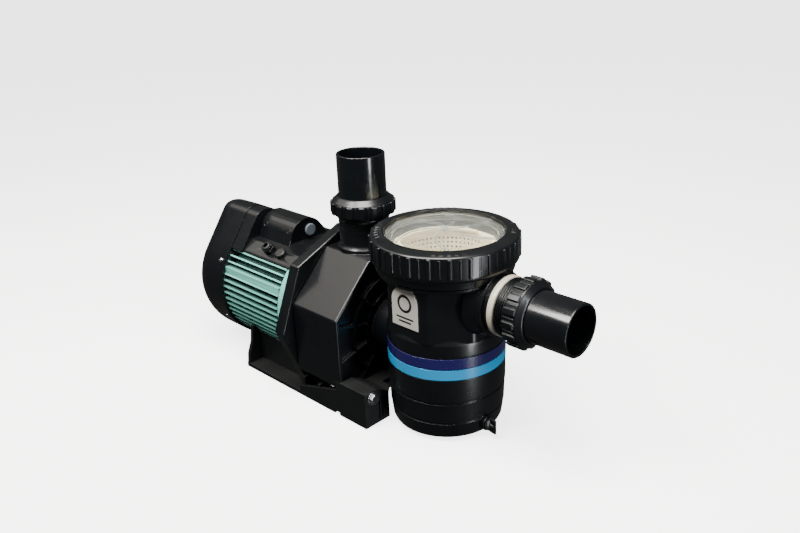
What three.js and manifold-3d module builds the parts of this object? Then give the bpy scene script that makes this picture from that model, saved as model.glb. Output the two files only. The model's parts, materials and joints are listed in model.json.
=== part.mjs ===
// Pool pump with a strainer pot in front, a volute in the middle and a fan-cooled motor behind.
// Millimetres, +Z up. The origin is on the ground under the middle of the pump, and +X runs
// along the shaft towards the suction port.
import * as THREE from "three";
import { mergeVertices } from "three/addons/utils/BufferGeometryUtils.js";
import Module from "manifold-3d";

const wasm = await Module();
wasm.setup();

// ---- driving dimensions ----
const GAP = 0.3; // left between pieces that touch
const HALF_LENGTH = 312; // half of the overall length
const SHAFT_Z = 100; // height of the shaft
const POT_X = 115.5; // upright axis of the strainer pot
const DISCHARGE_X = -28.1; // upright axis of the discharge port
const SUCTION_Z = 181.4; // height of the suction port
const PIPE_R = 31.5; // 63 mm pool pipe
const PIPE_BORE_R = 28.5;
const WATERWAY_R = 26.5;

const VOLUTE = {
  back: -66.2, front: 19.4, halfWidth: 100, top: 199.5, bottom: 14, sideTop: 136, sideBottom: 41,
};
const PLATE = { back: -84.3, front: -66.5 };
const POT = {
  r: 75, flatTop: 206, flatR: 72, cornerR: 76, rim: 236, flangeR: 84, ringRoomR: 87.4, neckR: 42,
};
const BAND = { bottom: 88.4, middle: 102.2, top: 116.6 };
const BADGE = { width: 42, bottom: 150.5, top: 203 };
const RING = { r: 90.9, ribR: 92.8, skirt: 222, bottom: 210.5, top: 252, lipTop: 255, lipR: 73.8 };
const BASKET = { r: 65, bottomR: 60, bottom: 62, rim: 229.5, wall: 2.4 };
const UNION = { ribR: 43, coreR: 40.6, ribLength: 17.8, length: 24.4, threadR: 35.4, reach: 79.4 };
const NIPPLE = { start: 208.5, ringLength: 8.4, collarR: 36 };
const FRAME = { back: -241.9, front: -116, boreR: 70.5, wallR: 77, finR: 91, padZ: 176.5 };
const COVER = { r: 94.5, back: -HALF_LENGTH, front: -242.2, roundFrom: -282, roundBy: 17, wall: 2.5 };
const HOOD = [[-22, 195, 22], [0, 184, 22]]; // the hull's narrow top: circles as [y, z, radius]
const BOX = {
  back: -241.8, split: -217, front: -146.5, apron: -104, inset: 1, flangeR: 92.5, floor: 163, deck: 178,
};
const TUBE = { y: -4, z: 183, r: 29.5, wall: 3 }; // the box cover's round hump
const BASE = { back: -188.2, join: 10, front: 66.3, halfWidth: 100.5, floor: 5.7 };
const DRAIN = { angle: THREE.MathUtils.degToRad(-8), z: 18 };

// Sides of a full circle: fine on large outer faces, coarse on inner pieces.
const ROUND = { fine: 32, plain: 24, inner: 14, small: 10, hole: 6 };

// ---- finishes ----
const finish = (color, roughness, metalness = 0) =>
  new THREE.MeshStandardMaterial({ color, roughness, metalness });
const MATERIALS = {
  black: finish(0x1b1e22, 0.35),
  blackSatin: finish(0x24272b, 0.5),
  pipe: finish(0x16191d, 0.3),
  teal: finish(0x7fc4b8, 0.45),
  cream: finish(0xe8e0cc, 0.5),
  ring: finish(0xd9d4c6, 0.4),
  clear: new THREE.MeshStandardMaterial({
    color: 0xdfe6e4, roughness: 0.08, transparent: true, opacity: 0.35,
  }),
  darkBlue: finish(0x2a2a6e, 0.4),
  lightBlue: finish(0x2f9fd8, 0.4),
  badge: finish(0xe6e4de, 0.4),
  rubber: finish(0x101010, 0.8),
  steel: finish(0xb8bcc0, 0.3, 1),
  iron: finish(0x5a5d60, 0.5, 1),
  copper: finish(0xb06a3a, 0.4, 1),
  ceramic: finish(0xe9e6df, 0.3),
  greyBlue: finish(0x76889a, 0.4),
};

// ---- shape helpers ----
// A closed geometry becomes a manifold-3d solid whose faces point out.
function solid(geometry) {
  const bare = geometry.index ? geometry.toNonIndexed() : geometry.clone();
  bare.deleteAttribute("normal");
  bare.deleteAttribute("uv");
  const merged = mergeVertices(bare, 1e-4);
  const corners = merged.index.array;
  const kept = [];
  for (let i = 0; i < corners.length; i += 3) {
    const [a, b, c] = corners.slice(i, i + 3);
    if (a !== b && b !== c && c !== a) kept.push(a, b, c);
  }
  const build = (triVerts) =>
    new wasm.Manifold(
      new wasm.Mesh({ numProp: 3, vertProperties: merged.attributes.position.array, triVerts }),
    );
  const made = build(new Uint32Array(kept));
  return made.volume() < 0 ? build(new Uint32Array(kept.reverse())) : made;
}

const join = (first, ...rest) => rest.reduce((sum, s) => sum.add(s), first);
const cut = (first, ...rest) => rest.reduce((left, s) => left.subtract(s), first);

// Turns a shape made along +Z so that its length runs along X, Y or Z.
const TURN = {
  x: new THREE.Matrix4().makeBasis(
    new THREE.Vector3(0, 1, 0), new THREE.Vector3(0, 0, 1), new THREE.Vector3(1, 0, 0)),
  y: new THREE.Matrix4().makeBasis(
    new THREE.Vector3(1, 0, 0), new THREE.Vector3(0, 0, 1), new THREE.Vector3(0, -1, 0)),
  z: new THREE.Matrix4(),
};

// A profile of [radius, height] points is spun about its own axis, which runs through `at`.
function turned(axis, profile, { at = [0, 0, 0], segments = ROUND.plain } = {}) {
  const points = profile.map(([r, h]) => new THREE.Vector2(r, h));
  const geometry = new THREE.LatheGeometry(points, segments);
  geometry.rotateX(Math.PI / 2);
  geometry.applyMatrix4(TURN[axis]);
  geometry.translate(...at);
  return solid(geometry);
}

// A round bar, and a round tube, from height `a` to height `b` along an axis.
const bar = (axis, r, a, b, options) => turned(axis, [[0, a], [r, a], [r, b], [0, b]], options);
const tube = (axis, inner, outer, a, b, options) =>
  turned(axis, [[inner, a], [outer, a], [outer, b], [inner, b], [inner, a]], options);

// A flat outline is pushed along an axis: X takes (y, z) points, Y takes (x, z), Z takes (x, y).
function pushed(axis, outline, a, b) {
  const shape = new THREE.Shape(outline.map(([u, v]) => new THREE.Vector2(u, v)));
  const geometry = new THREE.ExtrudeGeometry(shape, { depth: b - a, bevelEnabled: false });
  geometry.translate(0, 0, axis === "y" ? -b : a);
  return solid(geometry.applyMatrix4(TURN[axis]));
}

function block([x0, y0, z0], [x1, y1, z1]) {
  const geometry = new THREE.BoxGeometry(x1 - x0, y1 - y0, z1 - z0);
  return solid(geometry.translate((x0 + x1) / 2, (y0 + y1) / 2, (z0 + z1) / 2));
}

// Closed sections with equal point counts, each { x, points }, are skinned along X.
function lofted(sections) {
  const count = sections[0].points.length;
  const corners = sections.flatMap(({ x, points }) => points.map(([y, z]) => [x, y, z]));
  const triangles = [];
  for (let s = 0; s + 1 < sections.length; s++) {
    for (let i = 0; i < count; i++) {
      const a = s * count + i;
      const b = s * count + ((i + 1) % count);
      triangles.push([a, b, b + count], [a, b + count, a + count]);
    }
  }
  const last = (sections.length - 1) * count;
  for (let i = 1; i + 1 < count; i++) {
    triangles.push([0, i + 1, i], [last, last + i, last + i + 1]);
  }
  const geometry = new THREE.BufferGeometry();
  geometry.setAttribute("position", new THREE.Float32BufferAttribute(corners.flat(), 3));
  geometry.setIndex(triangles.flat());
  return solid(geometry);
}

const mirrored = (half) => [...half, ...half.map(([y, z]) => [-y, z]).reverse()];
const around = (count, make) => Array.from({ length: count }, (_, i) => make((i * 2 * Math.PI) / count, i));

function addPiece(group, name, made, material) {
  const mesh = made.getMesh();
  const geometry = new THREE.BufferGeometry();
  geometry.setAttribute("position", new THREE.BufferAttribute(mesh.vertProperties, 3));
  geometry.setIndex(new THREE.BufferAttribute(mesh.triVerts, 1));
  geometry.computeVertexNormals();
  const piece = new THREE.Mesh(geometry, material);
  piece.name = name;
  group.add(piece);
}

// ---- outlines across the shaft, as (y, z) points ----
// The volute is an octagon with 45 degree chamfers; `grow` widens it all round.
function voluteOutline(grow = 0) {
  const slant = grow * (Math.SQRT2 - 1);
  const topY = VOLUTE.halfWidth - (VOLUTE.top - VOLUTE.sideTop);
  const bottomY = VOLUTE.halfWidth - (VOLUTE.sideBottom - VOLUTE.bottom);
  return mirrored([
    [bottomY + slant, VOLUTE.bottom - grow],
    [VOLUTE.halfWidth + grow, VOLUTE.sideBottom - slant],
    [VOLUTE.halfWidth + grow, VOLUTE.sideTop + slant],
    [topY + slant, VOLUTE.top + grow],
  ]);
}

// The plate is an octagon that stands on a point-up corner, cut off at the ground.
const plateOutline = () => [
  [-84, 6], [84, 6], [119.5, 98], [85, 183], [0, 218.5], [-85, 183], [-119.5, 98],
];

// The fan cover and the rear of the terminal box share one pear-shaped hull: a circle round
// the motor and two small circles side by side on top. `inset` shrinks it all round.
function pearOutline(inset, steps = ROUND.fine) {
  const circles = [[0, SHAFT_Z, COVER.r], ...HOOD];
  return around(steps, (angle) => {
    const [ny, nz] = [Math.cos(angle), Math.sin(angle)];
    const reach = circles.map(([y, z, r]) => y * ny + z * nz + r);
    const [y, z, r] = circles[reach.indexOf(Math.max(...reach))];
    return [y + (r - inset) * ny, z + (r - inset) * nz];
  });
}

// ---- wet end: volute, plate and what turns inside them ----
const BOLT_CIRCLE_R = 84;
const boltPlaces = around(4, (a) => [
  BOLT_CIRCLE_R * Math.cos(a + Math.PI / 4),
  SHAFT_Z + BOLT_CIRCLE_R * Math.sin(a + Math.PI / 4),
]);

function makeVolute() {
  const front = VOLUTE.front;
  const rimWidth = 6;
  const recess = 6;
  const onShaft = { at: [0, 0, SHAFT_Z] };
  let body = pushed("x", voluteOutline(), VOLUTE.back, front);
  const recessed = pushed("x", voluteOutline(-rimWidth), front - recess, front + 1);
  body = cut(body, recessed);
  const ribs = around(12, (angle) => {
    const rib = new THREE.BoxGeometry(recess + 0.5, 120, 2.4);
    rib.translate(front - recess / 2 - 0.75, 72, 0);
    return solid(rib.rotateX(angle).translate(0, 0, SHAFT_Z));
  });
  const ringRibs = [[45.5, 48.5], [68.5, 71.5]].map(([inner, outer]) =>
    tube("x", inner, outer, front - recess - 0.5, front - 0.5, onShaft));
  const web = join(ribs[0], ...ribs.slice(1), ...ringRibs);
  body = join(body, web.intersect(pushed("x", voluteOutline(-rimWidth + 1), front - 10, front)));
  body = join(body, bar("x", 44, front - 10, front, onShaft));
  const neck = [
    [0, 190], [37.8, 190], [37.8, 202.5], [34.5, 206.5], [33, 210], [33, 238],
    [UNION.threadR, 241], [UNION.threadR, 258.2], [0, 258.2],
  ];
  body = join(body, turned("z", neck, { at: [DISCHARGE_X, 0, 0] }));
  const chamber = bar("x", 74, VOLUTE.back - 1, -8, onShaft);
  const eye = bar("x", 30, -9, front + 1, onShaft);
  const outlet = bar("z", WATERWAY_R, 150, 260, { at: [DISCHARGE_X, 0, 0] });
  const boltHoles = boltPlaces.map(([y, z]) =>
    bar("x", 3.3, VOLUTE.back - 1, -42, { at: [0, y, z], segments: ROUND.hole }));
  return cut(body, chamber, eye, outlet, ...boltHoles);
}

function makeSealPlate() {
  const onShaft = { at: [0, 0, SHAFT_Z] };
  const plate = pushed("x", plateOutline(), PLATE.back, PLATE.front);
  const boss = bar("x", 27, PLATE.front - 1, -57, onShaft);
  const seat = bar("x", 20.6, -76, -50, onShaft);
  const shaftHole = bar("x", 11.5, PLATE.back - 1, -70, onShaft);
  const boltHoles = boltPlaces.map(([y, z]) =>
    bar("x", 3.3, PLATE.back - 1, PLATE.front + 1, { at: [0, y, z], segments: ROUND.hole }));
  return cut(join(plate, boss), seat, shaftHole, ...boltHoles);
}

function makeDiffuser() {
  const profile = [
    [26, -13], [66, -13], [66, -44], [70, -44], [70, -9], [26, -9], [26, -13],
  ];
  return turned("x", profile, { at: [0, 0, SHAFT_Z], segments: ROUND.inner });
}

function makeImpeller() {
  const options = { at: [0, 0, SHAFT_Z], segments: ROUND.inner };
  const discs = [
    bar("x", 60, -37, -34, options),
    tube("x", 22, 60, -21, -18, options),
    bar("x", 13, -38, -18, options),
  ];
  const vanes = around(6, (angle) => {
    const vane = new THREE.BoxGeometry(15, 40, 2.2);
    vane.rotateX(0.5);
    vane.translate(-27.5, 37, 8);
    return solid(vane.rotateX(angle).translate(0, 0, SHAFT_Z));
  });
  return cut(join(...discs, ...vanes), bar("x", 8.3, -40, -10, options));
}

function addWetEnd(group) {
  const options = { at: [0, 0, SHAFT_Z], segments: ROUND.inner };
  addPiece(group, "volute_casing", makeVolute(), MATERIALS.black);
  addPiece(group, "seal_plate", makeSealPlate(), MATERIALS.black);
  addPiece(group, "diffuser", makeDiffuser(), MATERIALS.blackSatin);
  addPiece(group, "impeller", makeImpeller(), MATERIALS.blackSatin);
  const screw = bar("x", 9.5, -15.6, -10.5, { ...options, segments: 6 });
  addPiece(group, "impeller_screw", screw, MATERIALS.steel);
  addPiece(group, "seal_rotating_face", tube("x", 8.3, 16, -55.2, -38.4, options), MATERIALS.iron);
  addPiece(group, "seal_stationary_seat", tube("x", 9.2, 20.2, -75.6, -55.6, options), MATERIALS.ceramic);
  boltPlaces.forEach(([y, z], i) => {
    const at = [0, y, z];
    const head = bar("x", 6.5, -91, PLATE.back - GAP, { at, segments: 6 });
    const shank = bar("x", 3, PLATE.back - 1, -45, { at, segments: ROUND.hole });
    addPiece(group, `casing_bolt_${i + 1}`, join(head, shank), MATERIALS.steel);
  });
}

// ---- strainer pot, in its own group on the pot's axis ----
const FLAT_COUNT = 8;

function makePot() {
  const { r, flatR, cornerR, rim, flangeR } = POT;
  const lower = turned("z", [
    [0, 3], [66, 3], [71, 8], [73.3, 27], [74.4, 55], [r, 58], [r, BAND.bottom - GAP],
    [r - 1.2, BAND.bottom - GAP], [r - 1.2, BAND.top + GAP], [r, BAND.top + GAP],
    [r, 135], [flatR - 1, 141], [0, 141],
  ], { segments: ROUND.fine });
  const octagon = around(FLAT_COUNT, (a) => {
    const corner = flatR / Math.cos(Math.PI / FLAT_COUNT);
    const turn = a + Math.PI / FLAT_COUNT;
    return [corner * Math.cos(turn), corner * Math.sin(turn)];
  });
  const round = bar("z", cornerR, 137, POT.flatTop, { segments: ROUND.fine });
  const upper = pushed("z", octagon, 137, POT.flatTop).intersect(round);
  const mouth = turned("z", [
    [0, 200], [flatR - 2, 200], [flatR - 2, 203.5], [80, 205], [flangeR, POT.flatTop - 1],
    [flangeR, POT.flatTop + 3.5],
    [81, POT.flatTop + 4], [81, rim], [0, rim],
  ], { segments: ROUND.fine });
  const neckToVolute = bar("x", POT.neckR, VOLUTE.front - POT_X + 3, -50, { at: [0, 0, SHAFT_Z] });
  const suctionBoss = turned("x", [[0, 50], [46, 50], [46, 68], [40, 80], [40, NIPPLE.start - POT_X - GAP],
    [0, NIPPLE.start - POT_X - GAP]], { at: [0, 0, SUCTION_Z] });
  const ringRoom = turned("z", [
    [0, 210], [POT.ringRoomR, 210], [POT.ringRoomR, 219.5], [93.5, 221.5], [93.5, 260], [0, 260],
  ], { segments: ROUND.fine });
  const drainBoss = bar("x", 9.5, 60, 78, { segments: ROUND.small });
  const body = join(lower, upper, mouth, neckToVolute, cut(suctionBoss, ringRoom),
    drainBoss.rotate([0, 0, THREE.MathUtils.radToDeg(DRAIN.angle)]).translate([0, 0, DRAIN.z]));
  const inside = turned("z", [
    [0, 9], [62, 9], [66.5, 14], [68, 60], [68, 224.5], [70.8, 224.5], [70.8, rim + 1], [0, rim + 1],
  ], { segments: ROUND.fine });
  const drainHole = bar("x", 5.3, 55, 80, { segments: ROUND.small });
  return cut(
    body,
    inside,
    bar("x", 30, VOLUTE.front - POT_X, -55, { at: [0, 0, SHAFT_Z] }),
    bar("x", WATERWAY_R + 6.6, 87.7, 100, { at: [0, 0, SUCTION_Z] }),
    bar("x", WATERWAY_R, 55, 100, { at: [0, 0, SUCTION_Z] }),
    drainHole.rotate([0, 0, THREE.MathUtils.radToDeg(DRAIN.angle)]).translate([0, 0, DRAIN.z]),
  );
}

function makeLockRing() {
  const { r, ribR, skirt, bottom, top, lipTop, lipR } = RING;
  const inner = 82.2;
  const shell = turned("z", [
    [inner, bottom], [85.6, bottom], [86.6, skirt - 2.5], [r - 0.6, skirt], [r, skirt + 4], [r, top - 2],
    [r - 2, top], [78, lipTop - 0.4], [lipR + 1, lipTop], [lipR, lipTop - 1], [lipR, 247], [inner, 247],
    [inner, bottom],
  ], { segments: ROUND.fine });
  const ribs = around(24, (angle) => {
    const rib = new THREE.BoxGeometry(3.4, 4.2, top - skirt - 4);
    rib.translate(ribR - 1.7, 0, (top + skirt) / 2 - 1);
    return solid(rib.rotateZ(angle));
  });
  return join(shell, ...ribs);
}

function makeLid() {
  const dome = (z) => [[72.6, 251 + z], [66, 253.6 + z], [40, 255.6 + z], [0, 256.4 + z]];
  return turned("z", [
    [0, 252], [40, 251.2], [66, 249.2], [68.5, 240], [80.8, 240], [80.8, 246.6], [73, 246.6], ...dome(0),
  ], { segments: ROUND.fine });
}

function makeBasket() {
  const { r, bottomR, bottom, rim, wall } = BASKET;
  const cup = turned("z", [
    [0, bottom], [bottomR, bottom], [r, rim - 3.5], [70.3, rim - 3.5], [70.3, rim], [r - wall, rim],
    [bottomR - wall, bottom + wall], [0, bottom + wall],
  ], { segments: ROUND.plain });
  return cut(cup, bar("x", WATERWAY_R + 1, 40, 80, { at: [0, 0, SUCTION_Z], segments: ROUND.inner }));
}

// A coloured band lies in the pot's shallow groove and stops at the neck to the volute.
function makeBand(bottom, top) {
  const hoop = tube("z", POT.r - 0.9, POT.r + 0.2, bottom, top, { segments: ROUND.fine });
  return cut(hoop, bar("x", POT.neckR + 0.5, -100, -40, { at: [0, 0, SHAFT_Z] }));
}

const HANDLE_PIVOT_Z = 232.4;

function makeBasketHandle() {
  const bow = tube("z", 57, 61.5, HANDLE_PIVOT_Z - 1.5, HANDLE_PIVOT_Z + 1.5, { segments: ROUND.plain });
  return cut(bow, block([1.5, -80, 200], [80, 80, 260]));
}

// A window-shaped plate with an arched top, flat against the pot's front face.
function makeBadge() {
  const half = BADGE.width / 2;
  const arch = Array.from({ length: 13 }, (_, i) => {
    const a = (i * Math.PI) / 12;
    return [half * Math.cos(a), BADGE.top - half + half * Math.sin(a)];
  });
  const outline = [[-half, BADGE.bottom], [half, BADGE.bottom], ...arch];
  return pushed("y", outline, -POT.flatR - 1.3, -POT.flatR - GAP);
}

function makeDrainPlug() {
  const flange = bar("x", 8, 78.4, 82, { segments: ROUND.small });
  const shank = bar("x", 5, 67, 79, { segments: ROUND.small });
  const wing = pushed("z", [[81, -2.2], [91.5, -2.2], [91.5, 2.2], [81, 2.2]], -10, 10);
  return join(flange, shank, wing).translate([0, 0, DRAIN.z]);
}

function addStrainer(group) {
  const pot = new THREE.Group();
  pot.position.set(POT_X, 0, 0);
  addPiece(pot, "strainer_pot", makePot(), MATERIALS.black);
  addPiece(pot, "pot_neck_seal", tube("x", 31, 40, VOLUTE.front - POT_X + GAP, VOLUTE.front - POT_X + 2.7,
    { at: [0, 0, SHAFT_Z], segments: ROUND.inner }), MATERIALS.rubber);
  addPiece(pot, "band_light", makeBand(BAND.bottom, BAND.middle - GAP / 2), MATERIALS.lightBlue);
  addPiece(pot, "band_dark", makeBand(BAND.middle + GAP / 2, BAND.top), MATERIALS.darkBlue);
  addPiece(pot, "badge_plate", makeBadge(), MATERIALS.badge);
  addPiece(pot, "lid_lock_ring", makeLockRing(), MATERIALS.black);
  addPiece(pot, "clear_lid", makeLid(), MATERIALS.clear);
  addPiece(pot, "lid_o_ring", tube("z", 73.5, 78.5, POT.rim + GAP, 239.6), MATERIALS.rubber);
  addPiece(pot, "strainer_basket", makeBasket(), MATERIALS.cream);
  addPiece(pot, "basket_handle", makeBasketHandle(), MATERIALS.cream);

  const drain = new THREE.Group();
  drain.rotation.z = DRAIN.angle;
  addPiece(drain, "drain_plug", makeDrainPlug(), MATERIALS.blackSatin);
  pot.add(drain);
  group.add(pot);
}

// ---- the two unions: one nut and one pipe spigot each, made along +Z ----
function makeUnionNut() {
  const { coreR, ribR, ribLength, length, threadR } = UNION;
  const bore = threadR + 0.6;
  const lipR = PIPE_R + 0.5;
  const shell = turned("z", [
    [bore, 0], [coreR - 1, 0], [coreR, 1.2], [coreR, ribLength], [PIPE_R + 2.5, length],
    [lipR, length], [lipR, ribLength + 0.4], [bore, ribLength + 0.4], [bore, 0],
  ]);
  const ribs = around(16, (angle) => {
    const rib = new THREE.BoxGeometry(4, 7, ribLength - 0.6);
    rib.translate(ribR - 2, 0, ribLength / 2 + 0.1);
    return solid(rib.rotateZ(angle));
  });
  return join(shell, ...ribs);
}

function makeSpigot() {
  const flangeR = UNION.threadR;
  return turned("z", [
    [PIPE_BORE_R, 13.6], [flangeR, 13.6], [flangeR, 17.6], [PIPE_R, 17.6], [PIPE_R, UNION.reach - 0.6],
    [PIPE_R - 0.6, UNION.reach], [PIPE_BORE_R, UNION.reach], [PIPE_BORE_R, 13.6],
  ]);
}

function addUnion(group, port, placed) {
  const union = new THREE.Group();
  placed(union);
  addPiece(union, `${port}_union_nut`, makeUnionNut(), MATERIALS.black);
  addPiece(union, `${port}_spigot`, makeSpigot(), MATERIALS.pipe);
  addPiece(union, `${port}_union_seal`, tube("z", 29, 34, 12.1, 13.3), MATERIALS.rubber);
  group.add(union);
}

const SUCTION_UNION_X = HALF_LENGTH - UNION.reach;

function makeSuctionNipple() {
  const collar = NIPPLE.start + NIPPLE.ringLength + GAP;
  const shoulder = SUCTION_UNION_X - 1;
  return turned("x", [
    [WATERWAY_R, POT_X + 88], [32.6, POT_X + 88], [32.6, collar], [NIPPLE.collarR, collar],
    [NIPPLE.collarR, shoulder], [UNION.threadR, shoulder + 1], [UNION.threadR, SUCTION_UNION_X + 11.8],
    [WATERWAY_R, SUCTION_UNION_X + 11.8], [WATERWAY_R, POT_X + 88],
  ], { at: [0, 0, SUCTION_Z] });
}

function addUnions(group) {
  addPiece(group, "suction_nipple", makeSuctionNipple(), MATERIALS.black);
  addPiece(group, "suction_gasket_ring", tube("x", 33.1, 37, NIPPLE.start, NIPPLE.start + NIPPLE.ringLength,
    { at: [0, 0, SUCTION_Z] }), MATERIALS.ring);
  addUnion(group, "suction", (union) => {
    union.position.set(SUCTION_UNION_X, 0, SUCTION_Z);
    union.rotation.y = Math.PI / 2;
  });
  addUnion(group, "discharge", (union) => union.position.set(DISCHARGE_X, 0, 246.4));
}

// ---- motor ----
function makeMotorFrame() {
  const { back, front, boreR, wallR, finR, padZ } = FRAME;
  const finCount = 60;
  const padAngle = 45;
  const outline = [];
  for (let i = 0; i < finCount; i++) {
    const middle = (i * 360) / finCount;
    const bare = Math.abs(middle - 90) < padAngle;
    const radii = bare ? [wallR, wallR, wallR, wallR] : [wallR, finR, finR, wallR];
    [-0.9, -0.75, 0.75, 0.9].forEach((degrees, k) => {
      const a = THREE.MathUtils.degToRad(middle + degrees);
      outline.push([radii[k] * Math.cos(a), SHAFT_Z + radii[k] * Math.sin(a)]);
    });
  }
  const finned = pushed("x", outline, back, front);
  const bars = [-1, 1].map((side) =>
    block([back, side * 77.25 - 7.25, 127.5], [front, side * 77.25 + 7.25, 138.5]));
  const flat = block([back - 1, -46, padZ - GAP], [front + 1, 46, 200]);
  return cut(join(finned, ...bars), flat, bar("x", boreR, back - 1, front + 1, { at: [0, 0, SHAFT_Z] }));
}

function makeFrontShield() {
  const profile = [
    [11, -85.2], [70, -85.2], [70, -103.8], [90.5, -103.8], [90.5, -115.7], [66, -115.7], [66, -110],
    [24, -110],
    [24, -93.8], [11, -93.8], [11, -85.2],
  ];
  const options = { at: [0, 0, SHAFT_Z] };
  const kept = bar("x", FRAME.wallR - 0.2, -121, -99, options)
    .intersect(block([-130, -100, 0], [-90, 100, FRAME.padZ - 0.2]));
  const underApron = cut(block([-120, -100, BOX.floor - GAP], [-100, 100, 200]), kept);
  return cut(turned("x", profile, options), underApron);
}

const COVER_SCREW_X = -253;
const COVER_SCREW_ANGLES = [28.5, 151.5, 208.5, 331.5].map(THREE.MathUtils.degToRad);

// A radial piece made along +X is turned about the shaft to stand at `angle`.
function radial(made, angle) {
  const turn = [THREE.MathUtils.radToDeg(angle) - 90, 0, 0];
  return made.rotate([0, -90, 0]).rotate(turn).translate([COVER_SCREW_X, 0, SHAFT_Z]);
}

const screwHoles = (from) =>
  COVER_SCREW_ANGLES.map((angle) => radial(bar("x", 2.3, from, 100, { segments: ROUND.hole }), angle));

function makeRearShield() {
  const profile = [
    [11, -256.6], [30, -256.6], [30, -250], [84, -250], [84, -259], [91.4, -259], [91.4, -242.9],
    [24, -242.9], [24, -255], [11, -255], [11, -256.6],
  ];
  return cut(turned("x", profile, { at: [0, 0, SHAFT_Z] }), ...screwHoles(80));
}

function makeFan() {
  const options = { at: [0, 0, SHAFT_Z], segments: ROUND.inner };
  const hub = bar("x", 18, -296, -266, options);
  const disc = bar("x", 62, -270, -267.5, options);
  const blades = around(7, (angle) => {
    const blade = new THREE.BoxGeometry(25, 60, 2.2);
    blade.translate(-281.5, 42, 0);
    return solid(blade.rotateX(angle).translate(0, 0, SHAFT_Z));
  });
  return cut(join(hub, disc, ...blades), bar("x", 8.8, -300, -260, options));
}

function makeFanCover() {
  const { back, front, roundFrom, roundBy, wall } = COVER;
  const skin = (extra, rear) => {
    const rounding = Array.from({ length: 5 }, (_, i) => {
      const t = Math.sin((i * Math.PI) / 8);
      const inset = extra + roundBy * (1 - Math.sqrt(1 - t * t));
      return { x: roundFrom + (rear - roundFrom) * t, points: pearOutline(inset) };
    });
    return [{ x: extra ? front + 1 : front, points: pearOutline(extra) }, ...rounding];
  };
  const shell = cut(lofted(skin(0, back)), lofted(skin(wall, back + wall)));
  const slots = [-4, -3, -2, -1, 0, 1, 2, 3, 4].flatMap((row) => {
    const half = Math.sqrt(66 * 66 - (row * 13) ** 2);
    return [-1, 1].map((side) => {
      const [y0, y1] = [side * 4, side * half].sort((a, b) => a - b);
      return block([back - 2, y0, SHAFT_Z + row * 13 - 3], [back + 8, y1, SHAFT_Z + row * 13 + 3]);
    });
  });
  return cut(shell, ...slots, ...screwHoles(88));
}

function addMotor(group) {
  const options = { at: [0, 0, SHAFT_Z] };
  addPiece(group, "motor_frame", makeMotorFrame(), MATERIALS.teal);
  addPiece(group, "front_end_shield", makeFrontShield(), MATERIALS.teal);
  addPiece(group, "rear_end_shield", makeRearShield(), MATERIALS.iron);
  addPiece(group, "stator_core", tube("x", 46, 70.1, -215, -145, options), MATERIALS.iron);
  addPiece(group, "stator_winding_front", tube("x", 48, 66, -144.7, -124, options), MATERIALS.copper);
  addPiece(group, "stator_winding_rear", tube("x", 48, 66, -236, -215.3, options), MATERIALS.copper);
  addPiece(group, "rotor_core", tube("x", 12.3, 44.2, -215, -145, options), MATERIALS.iron);
  const bearing = (a, b) => tube("x", 10.3, 23.6, a, b, { ...options, segments: ROUND.inner });
  addPiece(group, "front_bearing", bearing(-109, -95), MATERIALS.steel);
  addPiece(group, "rear_bearing", bearing(-254.6, -243), MATERIALS.steel);
  const shaft = [
    [0, -298], [8.5, -298], [8.5, -257], [10, -257], [10, -241], [12, -241], [12, -111], [10, -111],
    [10, -90], [8, -90], [8, -16], [0, -16],
  ];
  const turnedShaft = turned("x", shaft, { ...options, segments: ROUND.inner });
  addPiece(group, "motor_shaft", turnedShaft, MATERIALS.steel);
  addPiece(group, "cooling_fan", makeFan(), MATERIALS.blackSatin);
  addPiece(group, "fan_cover", makeFanCover(), MATERIALS.black);
  COVER_SCREW_ANGLES.forEach((angle, i) => {
    const head = bar("x", 4.2, 95, 97.2, { segments: ROUND.small });
    const shank = bar("x", 2, 86, 95.4, { segments: ROUND.hole });
    addPiece(group, `fan_cover_screw_${i + 1}`, radial(join(head, shank), angle), MATERIALS.steel);
  });
}

// ---- terminal box on top of the motor ----
const GLAND = { x: -168, y: -55.5, z: 174, leanDegrees: 36.9, toPlug: 25 };
const END_PLUG = { y: 1, z: 194 };

// A piece made along +Z is leaned over to leave the flange's near flank at right angles.
const onFlank = (made, x) => made.rotate([GLAND.leanDegrees, 0, 0]).translate([x, GLAND.y, GLAND.z]);

// The room taken by the motor frame under the box: round, with a flat pad on top.
function saddle() {
  const round = bar("x", FRAME.wallR + 0.6, -300, 0, { at: [0, 0, SHAFT_Z], segments: ROUND.fine });
  return round.intersect(block([-300, -200, 0], [0, 200, FRAME.padZ + 0.2]));
}

const FLOOR_INSIDE = FRAME.padZ + 3;

function makeBoxRear() {
  const hull = (inset, a, b) => lofted([a, b].map((x) => ({ x, points: pearOutline(BOX.inset + inset) })));
  const outer = hull(0, BOX.back, BOX.split - GAP).intersect(block([-300, -200, BOX.floor], [0, 200, 300]));
  const room = hull(3, BOX.back - 5, BOX.split - GAP - 3);
  return cut(outer, saddle(), room.intersect(block([-300, -200, FLOOR_INSIDE], [0, 200, 300])));
}

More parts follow.
